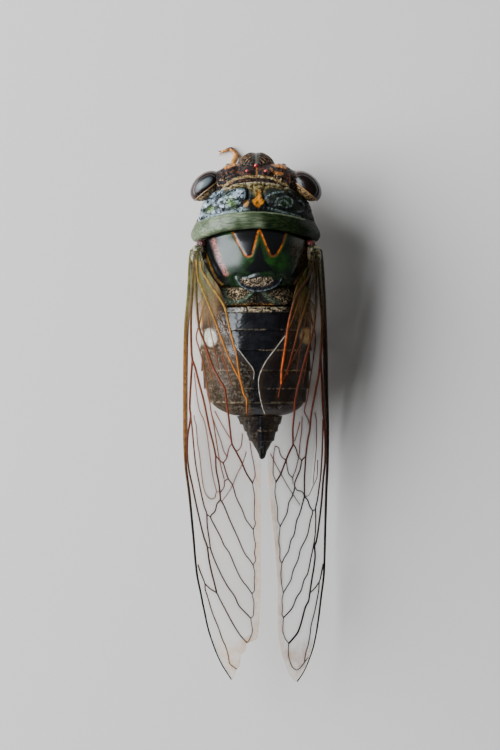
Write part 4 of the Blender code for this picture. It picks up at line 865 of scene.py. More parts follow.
PRONOTUM_FURROWS = [
    [(-0.95, 22.9), (-0.75, 22.0), (-0.9, 21.3), (-1.7, 20.7), (-3.2, 20.3)],
    [(-2.7, 22.7), (-3.3, 21.9), (-4.2, 21.1), (-5.2, 20.2)],
]
HOURGLASS = [
    (-0.1, 22.5), (0.5, 22.5), (0.42, 21.9), (0.48, 21.5), (0.85, 21.28), (0.62, 20.85), (0.2, 20.45),
    (-0.2, 20.85), (-0.4, 21.28), (-0.05, 21.5), (0.02, 21.9),
]
OLIVE_FRONT = [
    (-2.3, 23.4), (2.5, 23.4), (1.6, 22.7), (0.85, 22.2), (0.55, 21.6), (-0.1, 21.6), (-0.5, 22.2),
    (-1.3, 22.8),
]
SWIRLS = [
    [(0.7, 21.3), (1.6, 21.95), (2.5, 22.15), (3.4, 22.2)],
    [(1.9, 20.75), (1.95, 21.2), (2.4, 21.6), (3.1, 21.65), (3.6, 21.3), (3.5, 20.8), (2.8, 20.6),
        (2.3, 20.8)],
    [(2.3, 21.1), (2.8, 21.3), (3.1, 21.0)],
    [(3.9, 21.25), (4.4, 21.3), (4.75, 20.9), (4.6, 20.3), (4.1, 20.15)],
    [(1.0, 20.55), (2.0, 20.3), (3.2, 20.0), (4.4, 19.75)],
]
PRONOTUM_MASKS = ("collar", "front", "hourglass", "black", "green", "tan", "pale", "swirls_and_highlights", "fringe",
                  "painted_sheen", "crown")


def pronotum_relief(x, y, top, level):
    """Swollen lobes between furrows, a smooth collar behind a groove, a low rib in front."""
    lift = 0.22 * strongest(both_sides(patch, x, y, (-4.4, 20.95), (1.2, 0.7), 25, 0.5),
                            both_sides(patch, x, y, (-2.4, 21.35), (1.3, 0.85), 30, 0.5))
    for furrow in PRONOTUM_FURROWS:
        lift -= 0.16 * (ridge(x, y, furrow, 0.16) + ridge(-x, y, furrow, 0.16))
    collar = smooth(level, 20.3, 20.05)
    lift = lift * (1 - collar) - 0.16 * hump(level - 20.3, 0.13)
    lift += (1 - collar) * (0.06 * ripples(x, y, 4, 1.3, 9) + 0.06 * ripples(x, y, 5, 0.55, 9))
    lift += collar * (0.012 * ripples(x, y, 6, 0.9, 9) + 0.004 * np.sin(level * 21 + np.sin(x * 1.3)))
    return (lift + 0.1 * hump(level - 23.05, 0.14)) * top


def pronotum_marks(x, y, top, level):
    """Masks: collar, olive front, hourglass, black round it and in the furrows, green, tan, pale
    net of the left lobe, partly its own pale bluish wax and partly a painted window reflection,
    pale swirl lines on the right lobe with painted highlight lines along the left lobe's hind rim,
    pale fringe in front, and painted sheen on the left of the collar and along its front rim."""
    collar = smooth(level, 20.3, 20.15)
    front = strongest(smooth(level, 22.6, 22.75) * smooth(np.abs(x), 3.4, 2.6),
                      inside(x, y, OLIVE_FRONT, 0.12))
    glass = inside(x, y, HOURGLASS, 0.08) * smooth(y, 22.5, 21.7)
    furrows = [mirrored(furrow, sign) for furrow in PRONOTUM_FURROWS for sign in (1, -1)]
    black = strongest(patch(x, y, (0.2, 20.6), (1.1, 0.6)),
                      inside(x, y, HOURGLASS, 0.3) * smooth(y, 22.2, 21.7),
                      0.75 * smooth(from_lines(x, y, furrows), 0.26, 0.08))
    green = (patch(x, y, (-4.6, 20.5), (0.5, 0.38), 30, 0.7)
             + 0.9 * patch(x, y, (-2.5, 21.05), (0.55, 0.7), 40, 0.8)
             + 0.3 * patch(x, y, (2.9, 21.0), (0.6, 0.4), 20, 0.5))
    tan = patch(x, y, (-1.0, 20.95), (0.28, 0.35))
    # Pale left lobe: partly its own pale bluish wax, partly a painted window reflection, so on the left side
    # only
    pale = smooth(x, -0.9, -1.5) * smooth(y, 22.6, 22.1)
    swirls_and_highlights = strongest(
        0.8 * smooth(from_lines(x, y, [curve(swirl, 0.2) for swirl in SWIRLS]), 0.15, 0.03),
        # The next two strokes are painted highlights along the left lobe's hind rim
        stroke(x, y, [(-5.3, 20.0), (-4.6, 19.65), (-3.0, 20.0), (-1.6, 20.3), (-0.6, 20.42)], 0.12, 0.12),
        0.9 * stroke(x, y, [(-5.55, 20.3), (-4.6, 19.75), (-3.0, 20.1), (-1.6, 20.4)], 0.16, 0.1))
    fringe = smooth(np.abs(level - 23.08), 0.14, 0.04) * smooth(np.abs(x), 4.2, 3.0)
    # Painted sheen: the collar lighter on its left, towards the window, and a pale line along its front rim
    painted_sheen = strongest(
        smooth(x + 0.8 * ripples(x, y, 13, 1.6), 1.2, -1.2) * (0.6 + 0.4 * ripples(x, y, 14, 2.0)),
        0.8 * stroke(x, level, [(-5.6, 20.05), (-1.0, 20.1), (4.8, 20.05)], 0.08, 0.12))
    drawn = front, glass, black, np.clip(green, 0, 1), tan, pale, swirls_and_highlights, fringe
    return [collar, *(one * top for one in drawn), painted_sheen]


def pronotum():
    plate = Finish("pronotum_shell", Specular_IOR_Level=0.05, Coat_Roughness=0.25)
    where = plate.place()
    wavy = plate.warped(where, 0.9, 0.5)
    mottle = plate.shell(where, 1.6)["Mottle"]
    fine = plate.noise(wavy, 4.0, 5.0, 0.4, 0.6)
    curl = plate.sums("SUBTRACT", plate.noise(wavy, 1.1, 3.0, 0.0, 1.0), 0.5)
    net = plate.spread(plate.sums("ABSOLUTE", curl, 0.5), 0.02, 0.09)
    black = plate.mix(mottle, (0.004, 0.005, 0.004), (0.014, 0.018, 0.012))
    # Pale bluish colour of the left lobe: its wax with a painted window reflection on it
    pale = plate.mix(mottle, (0.1, 0.13, 0.15), (0.46, 0.54, 0.62))
    pale = plate.mix(plate.noise(wavy, 1.8, 5.0, 0.53, 0.6), pale, (0.006, 0.01, 0.008))
    green = plate.mix(fine, (0.015, 0.04, 0.008), (0.16, 0.25, 0.07))
    plate.start(plate.times(fine, 0.1), black, (0.05, 0.06, 0.045))
    plate.paint("pale", (0.008, 0.01, 0.01), pale, net)
    plate.paint("green", (0.01, 0.02, 0.008), green, net)
    plate.paint("tan", (0.4, 0.2, 0.06))
    # Pale swirl lines, and painted highlight lines along the left lobe's hind rim
    plate.paint(("swirls_and_highlights", plate.spread(fine, 0.1, 0.7, 0.1, 1.0)), (0.16, 0.2, 0.19))
    plate.paint("black", (0.004, 0.004, 0.004))
    plate.paint("front", (0.03, 0.022, 0.006), (0.2, 0.15, 0.06), fine)
    amber = plate.noise(where, 1.8, 4.0, 0.42, 0.58)
    plate.paint("hourglass", (0.1, 0.035, 0.005), (0.46, 0.16, 0.01), amber)
    plate.paint(("fringe", plate.noise(where, 6.0)), (0.42, 0.36, 0.24))
    streaks = plate.noise(plate.place((0.6, 3.5, 3.5)), 1.6, 5.0, 0.35, 0.68)
    dark_green = plate.mix(streaks, (0.004, 0.009, 0.003), (0.018, 0.028, 0.009))
    light_green = plate.mix(streaks, (0.085, 0.11, 0.05), (0.2, 0.23, 0.15))
    # The light green is painted sheen over the left of the collar, mixed in by the sheen mask
    plate.paint("collar", dark_green, light_green, "painted_sheen")
    gloss = plate.spread(plate.times("collar", "painted_sheen"), 0.0, 1.0, 0.12, 0.5)
    calm = plate.sums("SUBTRACT", 1.0, plate.times("collar", 0.95))
    made = plate.done(plate.times(fine, calm), 0.045, Coat_Weight=plate.times(gloss, "crown"),
                      Roughness=plate.spread(fine, 0.0, 1.0, 0.25, 0.45))
    part = shell(PRONOTUM_RINGS, THORAX_GRID, 0.3, pronotum_relief, pronotum_marks)
    piece("pronotum_plate", [part], made, ["pronotum"], PRONOTUM_MASKS)


# Mesothorax: glossy black with green, the orange W, and the raised cross

W_LINE = [
    (-2.35, 18.25), (-2.0, 17.5), (-1.55, 16.6), (-1.2, 16.0), (-0.85, 15.65), (-0.5, 15.75), (-0.28, 16.3),
    (-0.05, 17.2), (0.15, 18.0), (0.32, 18.35), (0.5, 18.0), (0.85, 17.1), (1.2, 16.25), (1.55, 15.7),
    (1.9, 15.8), (2.3, 16.35), (2.65, 17.1), (2.95, 18.1),
]
CROSS = [
    (-1.95, 13.5), (-1.65, 13.0), (-1.15, 12.6), (-0.5, 12.35), (0.15, 12.28), (0.8, 12.35), (1.5, 12.55),
    (2.1, 12.9), (2.5, 13.45), (1.9, 13.4), (1.2, 13.55), (0.75, 13.75), (0.37, 13.85), (-0.1, 13.75),
    (-0.7, 13.5), (-1.4, 13.4),
]
SHIELD = [
    (-6.5, 19.0), (-5.6, 17.1), (-4.95, 15.4), (-4.05, 13.5), (-3.5, 12.85), (-2.2, 12.75), (-1.3, 12.45),
    (0.15, 12.1), (1.6, 12.4), (2.6, 12.75), (3.9, 12.9), (4.6, 14.0), (5.35, 15.7), (5.8, 17.2),
    (6.5, 19.0),
]
MESONOTUM_MASKS = ("orange", "seam", "black", "green", "side", "pink", "edge", "cross", "lobes", "rim",
                   "skin", "crown")


def mesonotum_relief(x, y, top, level):
    """Grooves along the W and the sides, the raised cross in a furrow, low hairy skin behind."""
    lift = 0.02 * ripples(x, y, 8, 2.4, 7) - 0.03 * ridge(x, y, W_LINE, 0.12, 0.15)
    for line in ([(-5.0, 17.3), (-4.45, 15.6), (-3.3, 13.4)], [(5.1, 17.3), (4.6, 15.6), (3.6, 13.4)]):
        lift -= 0.06 * ridge(x, y, line, 0.2, 0.3)
    cross = inside(x, y, CROSS, 0.2)
    rim = from_lines(x, y, [CROSS + CROSS[:1]])
    lift += 0.1 * cross - 0.1 * hump(rim - 0.3, 0.16) * (1 - cross)
    lift += 0.05 * hump(rim, 0.12) + 0.06 * ripples(x, y, 9, 0.4, 9) * cross
    beyond = 1 - inside(x, y, SHIELD, 0.12)
    lift += beyond * smooth(y, 15.0, 14.0) * (0.08 * ripples(x, y, 10, 0.8, 9) - 0.12)
    return (lift - 0.35 * beyond * smooth(y, 13.1, 12.6)) * top


def mesonotum_marks(x, y, top, level):
    """Masks: orange W, olive seam beside it, black in its two cups and in a wedge below it,
    green, then a black and a rosy band along the left side, which are painted reflections of a
    dark shadow and of a brown floor, tan edges, cross, its tan lobes, its rim,
    and hairy skin behind and below."""
    gap = from_lines(x, y, [curve(W_LINE, 0.15)])
    wedge = [(0.35, 17.3), (0.8, 15.3), (1.8, 14.3), (0.4, 14.05), (-1.2, 14.2), (-0.2, 15.3)]
    black = strongest(inside(x, y, [(-2.3, 18.9)] + W_LINE[:10] + [(0.32, 18.9)], 0.05),
                      inside(x, y, [(0.32, 18.9)] + W_LINE[9:] + [(2.95, 18.9)], 0.05),
                      inside(x, y, wedge, 0.12))
    green = strongest(
        patch(x, y, (-0.75, 14.85), (0.8, 0.75), -35, 0.4), patch(x, y, (2.1, 15.1), (1.3, 0.9), 10, 0.5),
        0.8 * stroke(x, y, [(-0.15, 15.4), (0.05, 16.2), (0.25, 17.3)], 0.2, 0.25),
        0.35 * smooth(np.abs(x - 0.2), 4.2, 3.0))
    # Painted reflections on the glossy left side: a black band of shadow, then a rosy band of a brown floor
    side = stroke(x, y, [(-4.6, 17.3), (-4.3, 16.3), (-3.9, 15.2), (-3.3, 13.5)], 0.5, 0.2)
    pink = stroke(x, y, [(-4.2, 17.3), (-3.9, 16.3), (-3.45, 15.1), (-2.95, 14.0)], 0.1, 0.35)
    edge = strongest(
        stroke(x, y, [(-5.45, 17.1), (-4.85, 15.3), (-4.0, 13.5), (-3.45, 12.95)], 0.22, 0.15),
        0.5 * stroke(x, y, [(5.65, 17.0), (5.15, 15.4), (4.45, 14.0), (3.9, 13.1)], 0.16, 0.15))
    lobes = strongest(
        patch(x, y, (-0.6, 13.15), (0.95, 0.34), -12, 0.35), patch(x, y, (0.9, 13.2), (0.75, 0.4), 16, 0.35),
        patch(x, y, (0.25, 13.4), (0.5, 0.25), 0, 0.4))
    beyond = strongest((1 - inside(x, y, SHIELD, 0.1)) * smooth(y, 15.6, 14.8),
                       0.6 * patch(x, y, (4.5, 15.7), (0.9, 1.7), 15, 0.5))
    drawn = [smooth(gap, 0.12, 0.035), smooth(gap, 0.3, 0.1), black, green, side, pink, edge,
             inside(x, y, CROSS, 0.08), lobes, stroke(x, y, CROSS[:9], 0.06, 0.08)]
    return [one * top for one in drawn] + [strongest(beyond * top, 1 - top)]


def mesonotum():
    plate = Finish("mesonotum_shell", Specular_IOR_Level=0.04, Coat_Roughness=0.26)
    where = plate.place()
    coat = plate.shell(where, 0.9)
    green = plate.mix(coat["Mottle"], (0.003, 0.014, 0.002), (0.01, 0.05, 0.005))
    fine = plate.noise(where, 5.0, 5.0)
    hairy = plate.noise(plate.warped(where, 2.5, 0.2), 7.0, 8.0, 0.44, 0.64)
    plate.start(coat["Mottle"], (0.003, 0.004, 0.004), (0.006, 0.009, 0.006))
    plate.paint("green", green)
    plate.paint("seam", (0.04, 0.05, 0.008))
    plate.paint("black", (0.003, 0.003, 0.003))
    # Painted reflections: the black band of shadow, then the rosy band of a brown floor
    plate.paint("side", (0.003, 0.003, 0.003))
    plate.paint(("pink", fine), (0.3, 0.09, 0.07))
    plate.paint("edge", (0.22, 0.08, 0.008), (0.5, 0.27, 0.05), fine)
    plate.paint("orange", (0.14, 0.03, 0.006), (0.5, 0.12, 0.01), plate.noise(where, 1.5, 4.0, 0.4, 0.6))
    plate.paint("cross", (0.004, 0.004, 0.005), (0.02, 0.02, 0.024), fine)
    plate.paint("lobes", (0.012, 0.008, 0.005), (0.46, 0.34, 0.22), hairy)
    plate.paint("rim", (0.02, 0.025, 0.03), (0.14, 0.17, 0.18), fine)
    plate.paint("skin", (0.006, 0.004, 0.002), (0.13, 0.09, 0.035), plate.noise(where, 4.0, 5.0))
    dull = plate.sums("MAXIMUM", "cross", "skin")
    made = plate.done(coat["Height"], 0.012, Roughness=plate.spread(dull, 0.0, 1.0, 0.25, 0.7),
                      Coat_Weight=plate.times(plate.spread(dull, 0.0, 1.0, 0.9, 0.0), "crown"))
    part = shell(MESOTHORAX_RINGS, THORAX_GRID, 0.3, mesonotum_relief, mesonotum_marks)
    piece("mesonotum_plate", [part], made, ["mesothorax"], MESONOTUM_MASKS)


# Metathorax: a narrow hairy band with green ridges

def metanotum_relief(x, y, top, level):
    """Two swellings, a ridge from the middle out to each side, and a furrow between them."""
    lift = 0.2 * patch(x, y, (-2.2, 11.8), (1.4, 0.75), 14, 0.5)
    lift += 0.2 * patch(x, y, (2.4, 11.8), (1.3, 0.7), -14, 0.5)
    lift += 0.14 * ridge(x, y, [(0.2, 12.6), (-0.5, 11.9), (-1.6, 11.2), (-3.0, 11.0)], 0.16)
    lift += 0.14 * ridge(x, y, [(0.2, 12.6), (0.9, 11.9), (1.9, 11.3), (3.0, 11.1)], 0.16)
    lift -= 0.16 * hump(x - 0.15, 0.45)
    return top * (lift + 0.05 * ripples(x, y, 11, 0.8, 9) + 0.04 * ripples(x, y, 12, 0.35, 9) - 0.1)


def metanotum_marks(x, y, top, level):
    """Masks: tan, more on the left and all round below, green ridges, orange hind rim."""
    tan = strongest(patch(x, y, (-1.85, 11.8), (1.5, 0.9), 0, 0.4),
                    0.6 * patch(x, y, (2.7, 11.8), (1.2, 0.7), 0, 0.5))
    green = strongest(
        stroke(x, y, [(-3.3, 12.5), (-3.0, 11.6), (-2.2, 11.1), (-0.9, 11.6), (-0.1, 12.5)], 0.35, 0.25),
        0.7 * stroke(x, y, [(0.6, 12.4), (1.3, 11.6), (2.2, 11.2)], 0.25, 0.25))
    rim = smooth(level, 11.15, 11.0) * smooth(np.abs(x + 0.4), 2.6, 1.4)
    return [strongest(tan * top, 0.6 * (1 - top)), green * top, rim * top]


def metanotum():
    plate = Finish("metanotum_shell", Specular_IOR_Level=0.1)
    fine = plate.noise(plate.warped(plate.place(), 2.0, 0.2), 6.0, 8.0, 0.44, 0.64)
    plate.start(fine, (0.004, 0.004, 0.003), (0.03, 0.02, 0.01))
    plate.paint("tan", (0.015, 0.01, 0.005), (0.5, 0.35, 0.19))
    plate.paint("green", (0.03, 0.04, 0.022), (0.15, 0.18, 0.12))
    plate.paint(("rim", fine), (0.5, 0.2, 0.04))
    part = shell(METATHORAX_RINGS, METANOTUM_GRID, 0.15, metanotum_relief, metanotum_marks)
    piece("metanotum_plate", [part], plate.done(fine, 0.08), ["metathorax"],
          ("tan", "green", "rim", "crown"))


# Abdomen: overlapping back plates, black along the middle, mottled at the sides

ABDOMEN_MASKS = ("sides", "margin", "hairs", "white", "tan", "belly", "crown")


def plate_steps(level, edges, step, reach):
    """Each plate rises, ever more steeply, from half a `step` below the shell to half above it
    at the plate's hind edge, and drops again just behind."""
    lift = np.zeros_like(level)
    for edge, front in zip(edges, [edges[0] + reach] + edges[:-1]):
        on_plate = (level <= front) & (level > edge)
        risen = np.clip((front - level) / (front - edge), 0.0, 1.0)
        lift = np.where(on_plate, step * risen**1.5, lift)
        behind = (level <= edge) & (level > edge - 0.1)
        lift = np.where(behind, step * (1 - (edge - level) / 0.1), lift)
    return lift - step / 2


def abdomen_relief(x, y, top, level):
    """Plates with slightly wavy edges, and wrinkles across them."""
    across = 0.04 * ripples(x, y * 2.0, 21, 1.6, 9) + 0.01 * ripples(x, y, 22, 0.5, 9)
    return plate_steps(level + 0.08 * ripples(x, 0.0, 23, 2.0, 7), TERGITE_EDGES, 0.2, 1.2) + across * top


def tip_relief(x, y, top, level):
    """Small plates, the keel along the middle, and wrinkles."""
    plates = plate_steps(level, TIP_EDGES, 0.14, 0.9) * smooth(level, -3.6, -2.9)
    return plates + 0.12 * hump(x - 0.58, 0.16) * top + 0.05 * ripples(x * 2.0, y, 24, 0.7, 9)


def abdomen_marks(x, y, top, level):
    """Masks: mottled sides, which reach the middle further back and blotch the tip, and which are
    weaker on the right as painted shade, pale hind margins, hairs in front, white spot on the
    left, tan spot on the right, belly."""
    reach = 2.6 - 2.3 * smooth(y, 6.2, 4.6) + 0.5 * ripples(x, y, 27, 1.5)
    # The mottle is the insect's own, but it is weaker on the right side and on the tip's right, as painted
    # shade
    sides = strongest(smooth(-x, reach - 0.4, reach + 0.5), 0.3 * smooth(x, 3.0, 4.4)) * smooth(y, 8.4, 7.2)
    tip = smooth(y, 0.2, -0.4) * smooth(np.abs(x - 0.55), 0.25, 0.5)
    blotched = np.clip(0.35 + 1.4 * ripples(x, y, 26, 1.3, 7), 0.0, 1.0)
    sides = np.where(y < 0.0, tip * blotched * np.where(x < 0.55, 0.9, 0.3), sides)
    edges = [smooth(np.abs(level - edge - 0.05), 0.13, 0.04) for edge in (*TERGITE_EDGES, -1.6)]
    margin = strongest(*edges) * (0.35 + 0.65 * smooth(np.abs(x), 1.5, 4.0))
    hairs = smooth(level - 0.12 * ripples(x, 0.0, 25, 1.1, 9), 10.15, 10.4)
    hairs = hairs * smooth(np.abs(x - 0.3), 3.2, 2.0)
    white = strongest(patch(x, y, (-4.55, 7.75), (0.62, 0.9), 12, 0.2),
                      patch(x, y, (-5.5, 7.8), (0.35, 0.75), 10, 0.3))
    tan = patch(x, y, (5.1, 7.9), (0.65, 0.8), -10, 0.25)
    belly = (1 - top) * smooth(y, 1.2, 2.4) * smooth(np.abs(x), 5.4, 4.9)
    return [sides * (1 - belly), margin * top, hairs * top, white * top, tan * top, belly]


def abdomen_finish():
    plate = Finish("abdomen_shell", Specular_IOR_Level=0.05, Coat_Roughness=0.2)
    where = plate.place()
    fine = plate.noise(where, 4.0, 6.0, 0.42, 0.68)
    wide = plate.noise(plate.place((0.5, 2.5, 1.0)), 1.3, 4.0)
    broken = plate.noise(where, 5.0, 3.0, 0.42, 0.58), plate.noise(where, 0.7, 2.0, 0.4, 0.55)
    plate.start(plate.shell(where, 1.2)["Mottle"], (0.003, 0.003, 0.004), (0.008, 0.008, 0.01))
    side = plate.mix(wide, (0.028, 0.023, 0.017), (0.12, 0.104, 0.082))
    # Mottled sides, which the mask makes weaker on the right as painted shade
    plate.paint("sides", (0.006, 0.004, 0.003), side, fine)
    plate.paint(("margin", *broken), (0.3, 0.22, 0.13))
    plate.paint(("hairs", plate.noise(where, 6.0, 4.0, 0.45, 0.6)), (0.36, 0.27, 0.16))
    plate.paint("white", (0.5, 0.47, 0.36), (0.85, 0.83, 0.74), fine)
    plate.paint("tan", (0.85, 0.5, 0.17), (1.0, 0.76, 0.4), fine)
    plate.paint("belly", (0.09, 0.055, 0.025), (0.32, 0.22, 0.12), fine)
    gloss = plate.spread("sides", 0.0, 0.8, 0.85, 0.1)
    return plate.done(fine, 0.006, Roughness=plate.spread("sides", 0.0, 1.0, 0.3, 0.6),
                      Coat_Weight=plate.times(gloss, "crown"))


def abdomen():
    made = abdomen_finish()
    part = shell(ABDOMEN_RINGS, ABDOMEN_GRID, 0.15, abdomen_relief, abdomen_marks)
    piece("abdomen_plates", [part], made, ["abdomen"], ABDOMEN_MASKS)
    part = shell(TIP_RINGS, TIP_GRID, 0.1, tip_relief, abdomen_marks)
    piece("abdomen_tip_plates", [part], made, ["abdomen_tip"], ABDOMEN_MASKS)


def sound_covers():
    cover = Finish("operculum_shell", roughness=0.45)
    coat = cover.shell(cover.place(), 1.0)
    cover.start(coat["Mottle"], (0.12, 0.09, 0.04), (0.34, 0.25, 0.13))
    made = cover.done(coat["Height"], 0.05)
    for side, sign in SIDES:
        plate = lofted(ellipsoid((sign * 2.5, 9.3, 2.9), (2.1, 1.7, 0.35), "z", 40, 80))
        piece(f"operculum_{side}_plate", [plate], made, [f"operculum_{side}"])


# Head: a wide capsule with the striped face in front and three simple eyes on top

HEAD_CAPSULE = ((0.0, 23.1, 7.6), (5.0, 2.1, 2.9))
FACE_BULGE = ((0.0, 24.2, 6.5), (2.15, 2.2, 2.9))
FACE_RIB = 0.36          # from one rib of the face to the next
OCELLI = [(-0.9, 24.2), (0.97, 24.2), (0.0, 24.85)]
OCELLUS = 0.2


def head_relief(x, y, z):
    """Lobes over the feelers, swellings round the simple eyes, and furrows."""
    lift = 0.05 * ripples(x * 1.5, y, 31, 1.0, 9) + 0.03 * ripples(x, y, 32, 0.45, 9)
    lift -= 0.14 * hump(x, 0.22) * smooth(y, 23.4, 23.9)
    for sign in (-1, 1):
        lift += 0.2 * patch(x, y, (sign * 2.5, 24.75), (0.8, 0.35), sign * -18, 0.6)
        lift += 0.14 * patch(x, y, (sign * 0.95, 24.15), (0.5, 0.42), 0, 0.7)
        inner = mirrored([(0.25, 23.6), (1.4, 23.75), (1.9, 24.3), (1.8, 24.9)], sign)
        outer = mirrored([(3.2, 24.4), (3.0, 23.7), (2.7, 23.1)], sign)
        lift -= 0.14 * ridge(x, y, inner, 0.16) + 0.1 * ridge(x, y, outer, 0.16)
    return lift * smooth(z, 7.0, 8.2)


def head_marks(x, y, z):
    """Masks: orange ledges and line, brown lobes, tan mottles, tan rear margin."""
    ledge = strongest(
        stroke(x, y, [(-3.0, 24.75), (-2.5, 24.95), (-1.9, 25.1)], 0.3, 0.15),
        stroke(x, y, [(1.7, 25.1), (2.2, 24.95), (2.9, 24.75)], 0.3, 0.15),
        0.6 * stroke(x, y, [(0.05, 24.6), (0.06, 24.2), (0.05, 23.8)], 0.04, 0.08),
        0.8 * stroke(x, y, [(1.5, 24.5), (1.9, 24.1), (2.6, 24.0)], 0.14, 0.14))
    brown = strongest(stroke(x, y, [(-4.1, 24.5), (-3.4, 24.6), (-2.6, 24.6)], 0.25, 0.3),
                      stroke(x, y, [(2.6, 24.6), (3.3, 24.6), (3.9, 24.4)], 0.25, 0.3))
    tan = strongest(patch(x, y, (2.15, 23.35), (0.7, 0.5), -20, 0.5),
                    0.6 * patch(x, y, (-3.4, 23.3), (0.8, 0.5), 40, 0.4),
                    0.5 * both_sides(patch, x, y, (-3.9, 23.0), (0.5, 0.9), 10, 0.4))
    rim = stroke(x, y, [(-3.2, 22.7), (-2.62, 23.17), (-1.7, 23.56), (-0.33, 23.7), (1.0, 23.65),
                        (2.35, 23.17), (3.2, 22.7)], 0.14, 0.1)
    return [one * smooth(z, 7.2, 8.2) for one in (ledge, brown, tan, rim)]


def head():
    made = Finish("head_shell", roughness=0.3, Specular_IOR_Level=0.1)
    where = made.place()
    fine = made.noise(where, 5.0, 5.0, 0.4, 0.62)
    specks = made.noise(where, 4.0, 3.0, 0.56, 0.64)
    veined = made.cells(made.warped(where, 1.2, 0.3), 1.4, "DISTANCE_TO_EDGE", 0.07, 0.02)
    made.start(fine, (0.003, 0.003, 0.004), (0.012, 0.013, 0.016))
    made.paint((veined, 0.22), (0.2, 0.05, 0.008))
    made.paint((specks, 0.4), (0.22, 0.07, 0.015))
    made.paint(("brown", specks), (0.16, 0.05, 0.015))
    made.paint(("tan", specks), (0.5, 0.34, 0.17))
    made.paint("rim", (0.1, 0.06, 0.02), (0.42, 0.3, 0.14))
    made.paint("ledge", (0.22, 0.06, 0.01), (0.55, 0.22, 0.04))
    grid = ellipsoid(*HEAD_CAPSULE, "x", 260, 260)
    grid = grid + normals(grid) * head_relief(*np.moveaxis(grid, 2, 0))[..., None]
    capsule = lofted(np.dstack([grid, *head_marks(*np.moveaxis(grid, 2, 0))]))
    piece("head_capsule", [capsule], made.done(fine, 0.05), ["head"],
          ("ledge", "brown", "tan", "rim"))


def face():
    """The bulging face, with ribs to both sides of a groove along its middle."""
    made = Finish("face_shell", roughness=0.28, Specular_IOR_Level=0.25)
    fine = made.noise(made.place(), 5.0, 5.0, 0.4, 0.62)
    made.start(fine, (0.004, 0.004, 0.004), (0.03, 0.018, 0.01))
    made.paint(("ridge", fine), (0.42, 0.2, 0.06))
    made.paint("groove", (0.08, 0.07, 0.05))
    grid = ellipsoid(*FACE_BULGE, "z", 220, 260)
    x, y, z = np.moveaxis(grid, 2, 0)
    bars = np.cos((z - 0.3 * np.abs(x)) * 2 * np.pi / FACE_RIB)
    ridged = smooth(np.abs(x), 0.3, 0.6) * smooth(np.abs(x), 2.0, 1.5) * smooth(y, 24.6, 25.2)
    groove = smooth(np.abs(x), 0.14, 0.05) * smooth(y, 24.9, 25.2)
    dip = hump(x, 0.22) * smooth(y, 24.6, 25.2)
    ridges = smooth(bars, 0.3, 0.9) * ridged * np.where(x > 0, 1.0, 0.6)
    grid = grid + normals(grid) * (0.05 * bars * ridged - 0.1 * dip)[..., None]
    bulge = lofted(np.dstack([grid, ridges, groove]))
    piece("face_bulge", [bulge], made.done(fine, 0.04), ["head"], ("ridge", "groove"))


def simple_eyes():
    """Three red domes, each on the head's surface: z² = 1 - x² - y² in shares of its half sizes."""
    red = Finish("ocellus_lens", (0.5, 0.015, 0.02), 0.08, Coat_Weight=0.8).made
    (_, middle_y, middle_z), (half_x, half_y, half_z) = HEAD_CAPSULE
    domes = []
    for x, y in OCELLI:
        z = middle_z + half_z * math.sqrt(1 - (x / half_x) ** 2 - ((y - middle_y) / half_y) ** 2) + 0.02
        domes.append(lofted(ellipsoid((x, y, z), (OCELLUS,) * 3, "z", 16, 24)))
    piece("ocelli", domes, red)


# Eyes: a dark dome in front of a mottled band, with a pale line between them

EYE_HALF = (1.85, 1.25, 1.6)
EYE_TURN = 45.0          # degrees outwards from straight ahead that the dome faces
EYE_MASKS = ("ring", "band", "line", "gleam")


def eye_finish():
    eye = Finish("compound_eye", Specular_IOR_Level=0.3, Coat_Weight=0.15, Coat_Roughness=0.06)
    where = eye.place()
    fine = eye.noise(where, 6.0, 5.0, 0.42, 0.6)
    eye.start(eye.noise(where, 0.7), (0.002, 0.001, 0.001), (0.008, 0.004, 0.003))
    eye.paint("ring", (0.03, 0.012, 0.007))
    # Painted reflection of the window, a pale oval on the left eye only
    eye.paint(("gleam", 0.7), (0.16, 0.19, 0.2))
    eye.paint("band", (0.01, 0.007, 0.004), (0.4, 0.24, 0.1), fine)
    eye.paint("line", (0.4, 0.22, 0.09))
    facets = eye.cells(where, 24.0, "F1", 0.1, 0.7)
    return eye.done(facets, 0.004, Roughness=eye.spread("band", 0.0, 1.0, 0.1, 0.5))


def eyes():
    """Both eyes. Masks: ring round the dome, mottled band, pale line, painted window reflection on the left
    eye.
    """
    made = eye_finish()
    for side, sign in SIDES:
        middle = np.array([sign * 5.0, 22.85, 8.1])
        grid = ellipsoid((0.0, 0.0, 0.0), EYE_HALF, "z", 160, 200)
        along, behind = grid[..., 0] * -sign, -grid[..., 1]
        past = behind - 0.42 - 0.12 * along
        line, band = smooth(np.abs(past), 0.055, 0.015), smooth(past, 0.0, 0.05)
        around = np.hypot(along / EYE_HALF[0], behind / EYE_HALF[1])
        ring = smooth(around, 0.72, 0.84) * (1 - band)
        # Painted reflection of the window, a pale oval on the left eye only
        gleam = patch(along, behind, (0.1, -0.25), (0.8, 0.34), 8, 0.4) * (side == "left")
        step = 0.05 * line - 0.1 * smooth(past, 0.0, 0.2) - 0.05 * hump(around - 0.74, 0.04) * (1 - band)
        step += 0.04 * ripples(grid[..., 0], grid[..., 1], 41, 0.4, 9) * band
        grid = grid + normals(grid) * step[..., None] + middle
        ball = turned(lofted(np.dstack([grid, ring, band, line, gleam])), middle, -sign * EYE_TURN)
        piece(f"eye_{side}_lens", [ball], made, [f"eye_{side}"], EYE_MASKS)


# Legs, feelers and beak

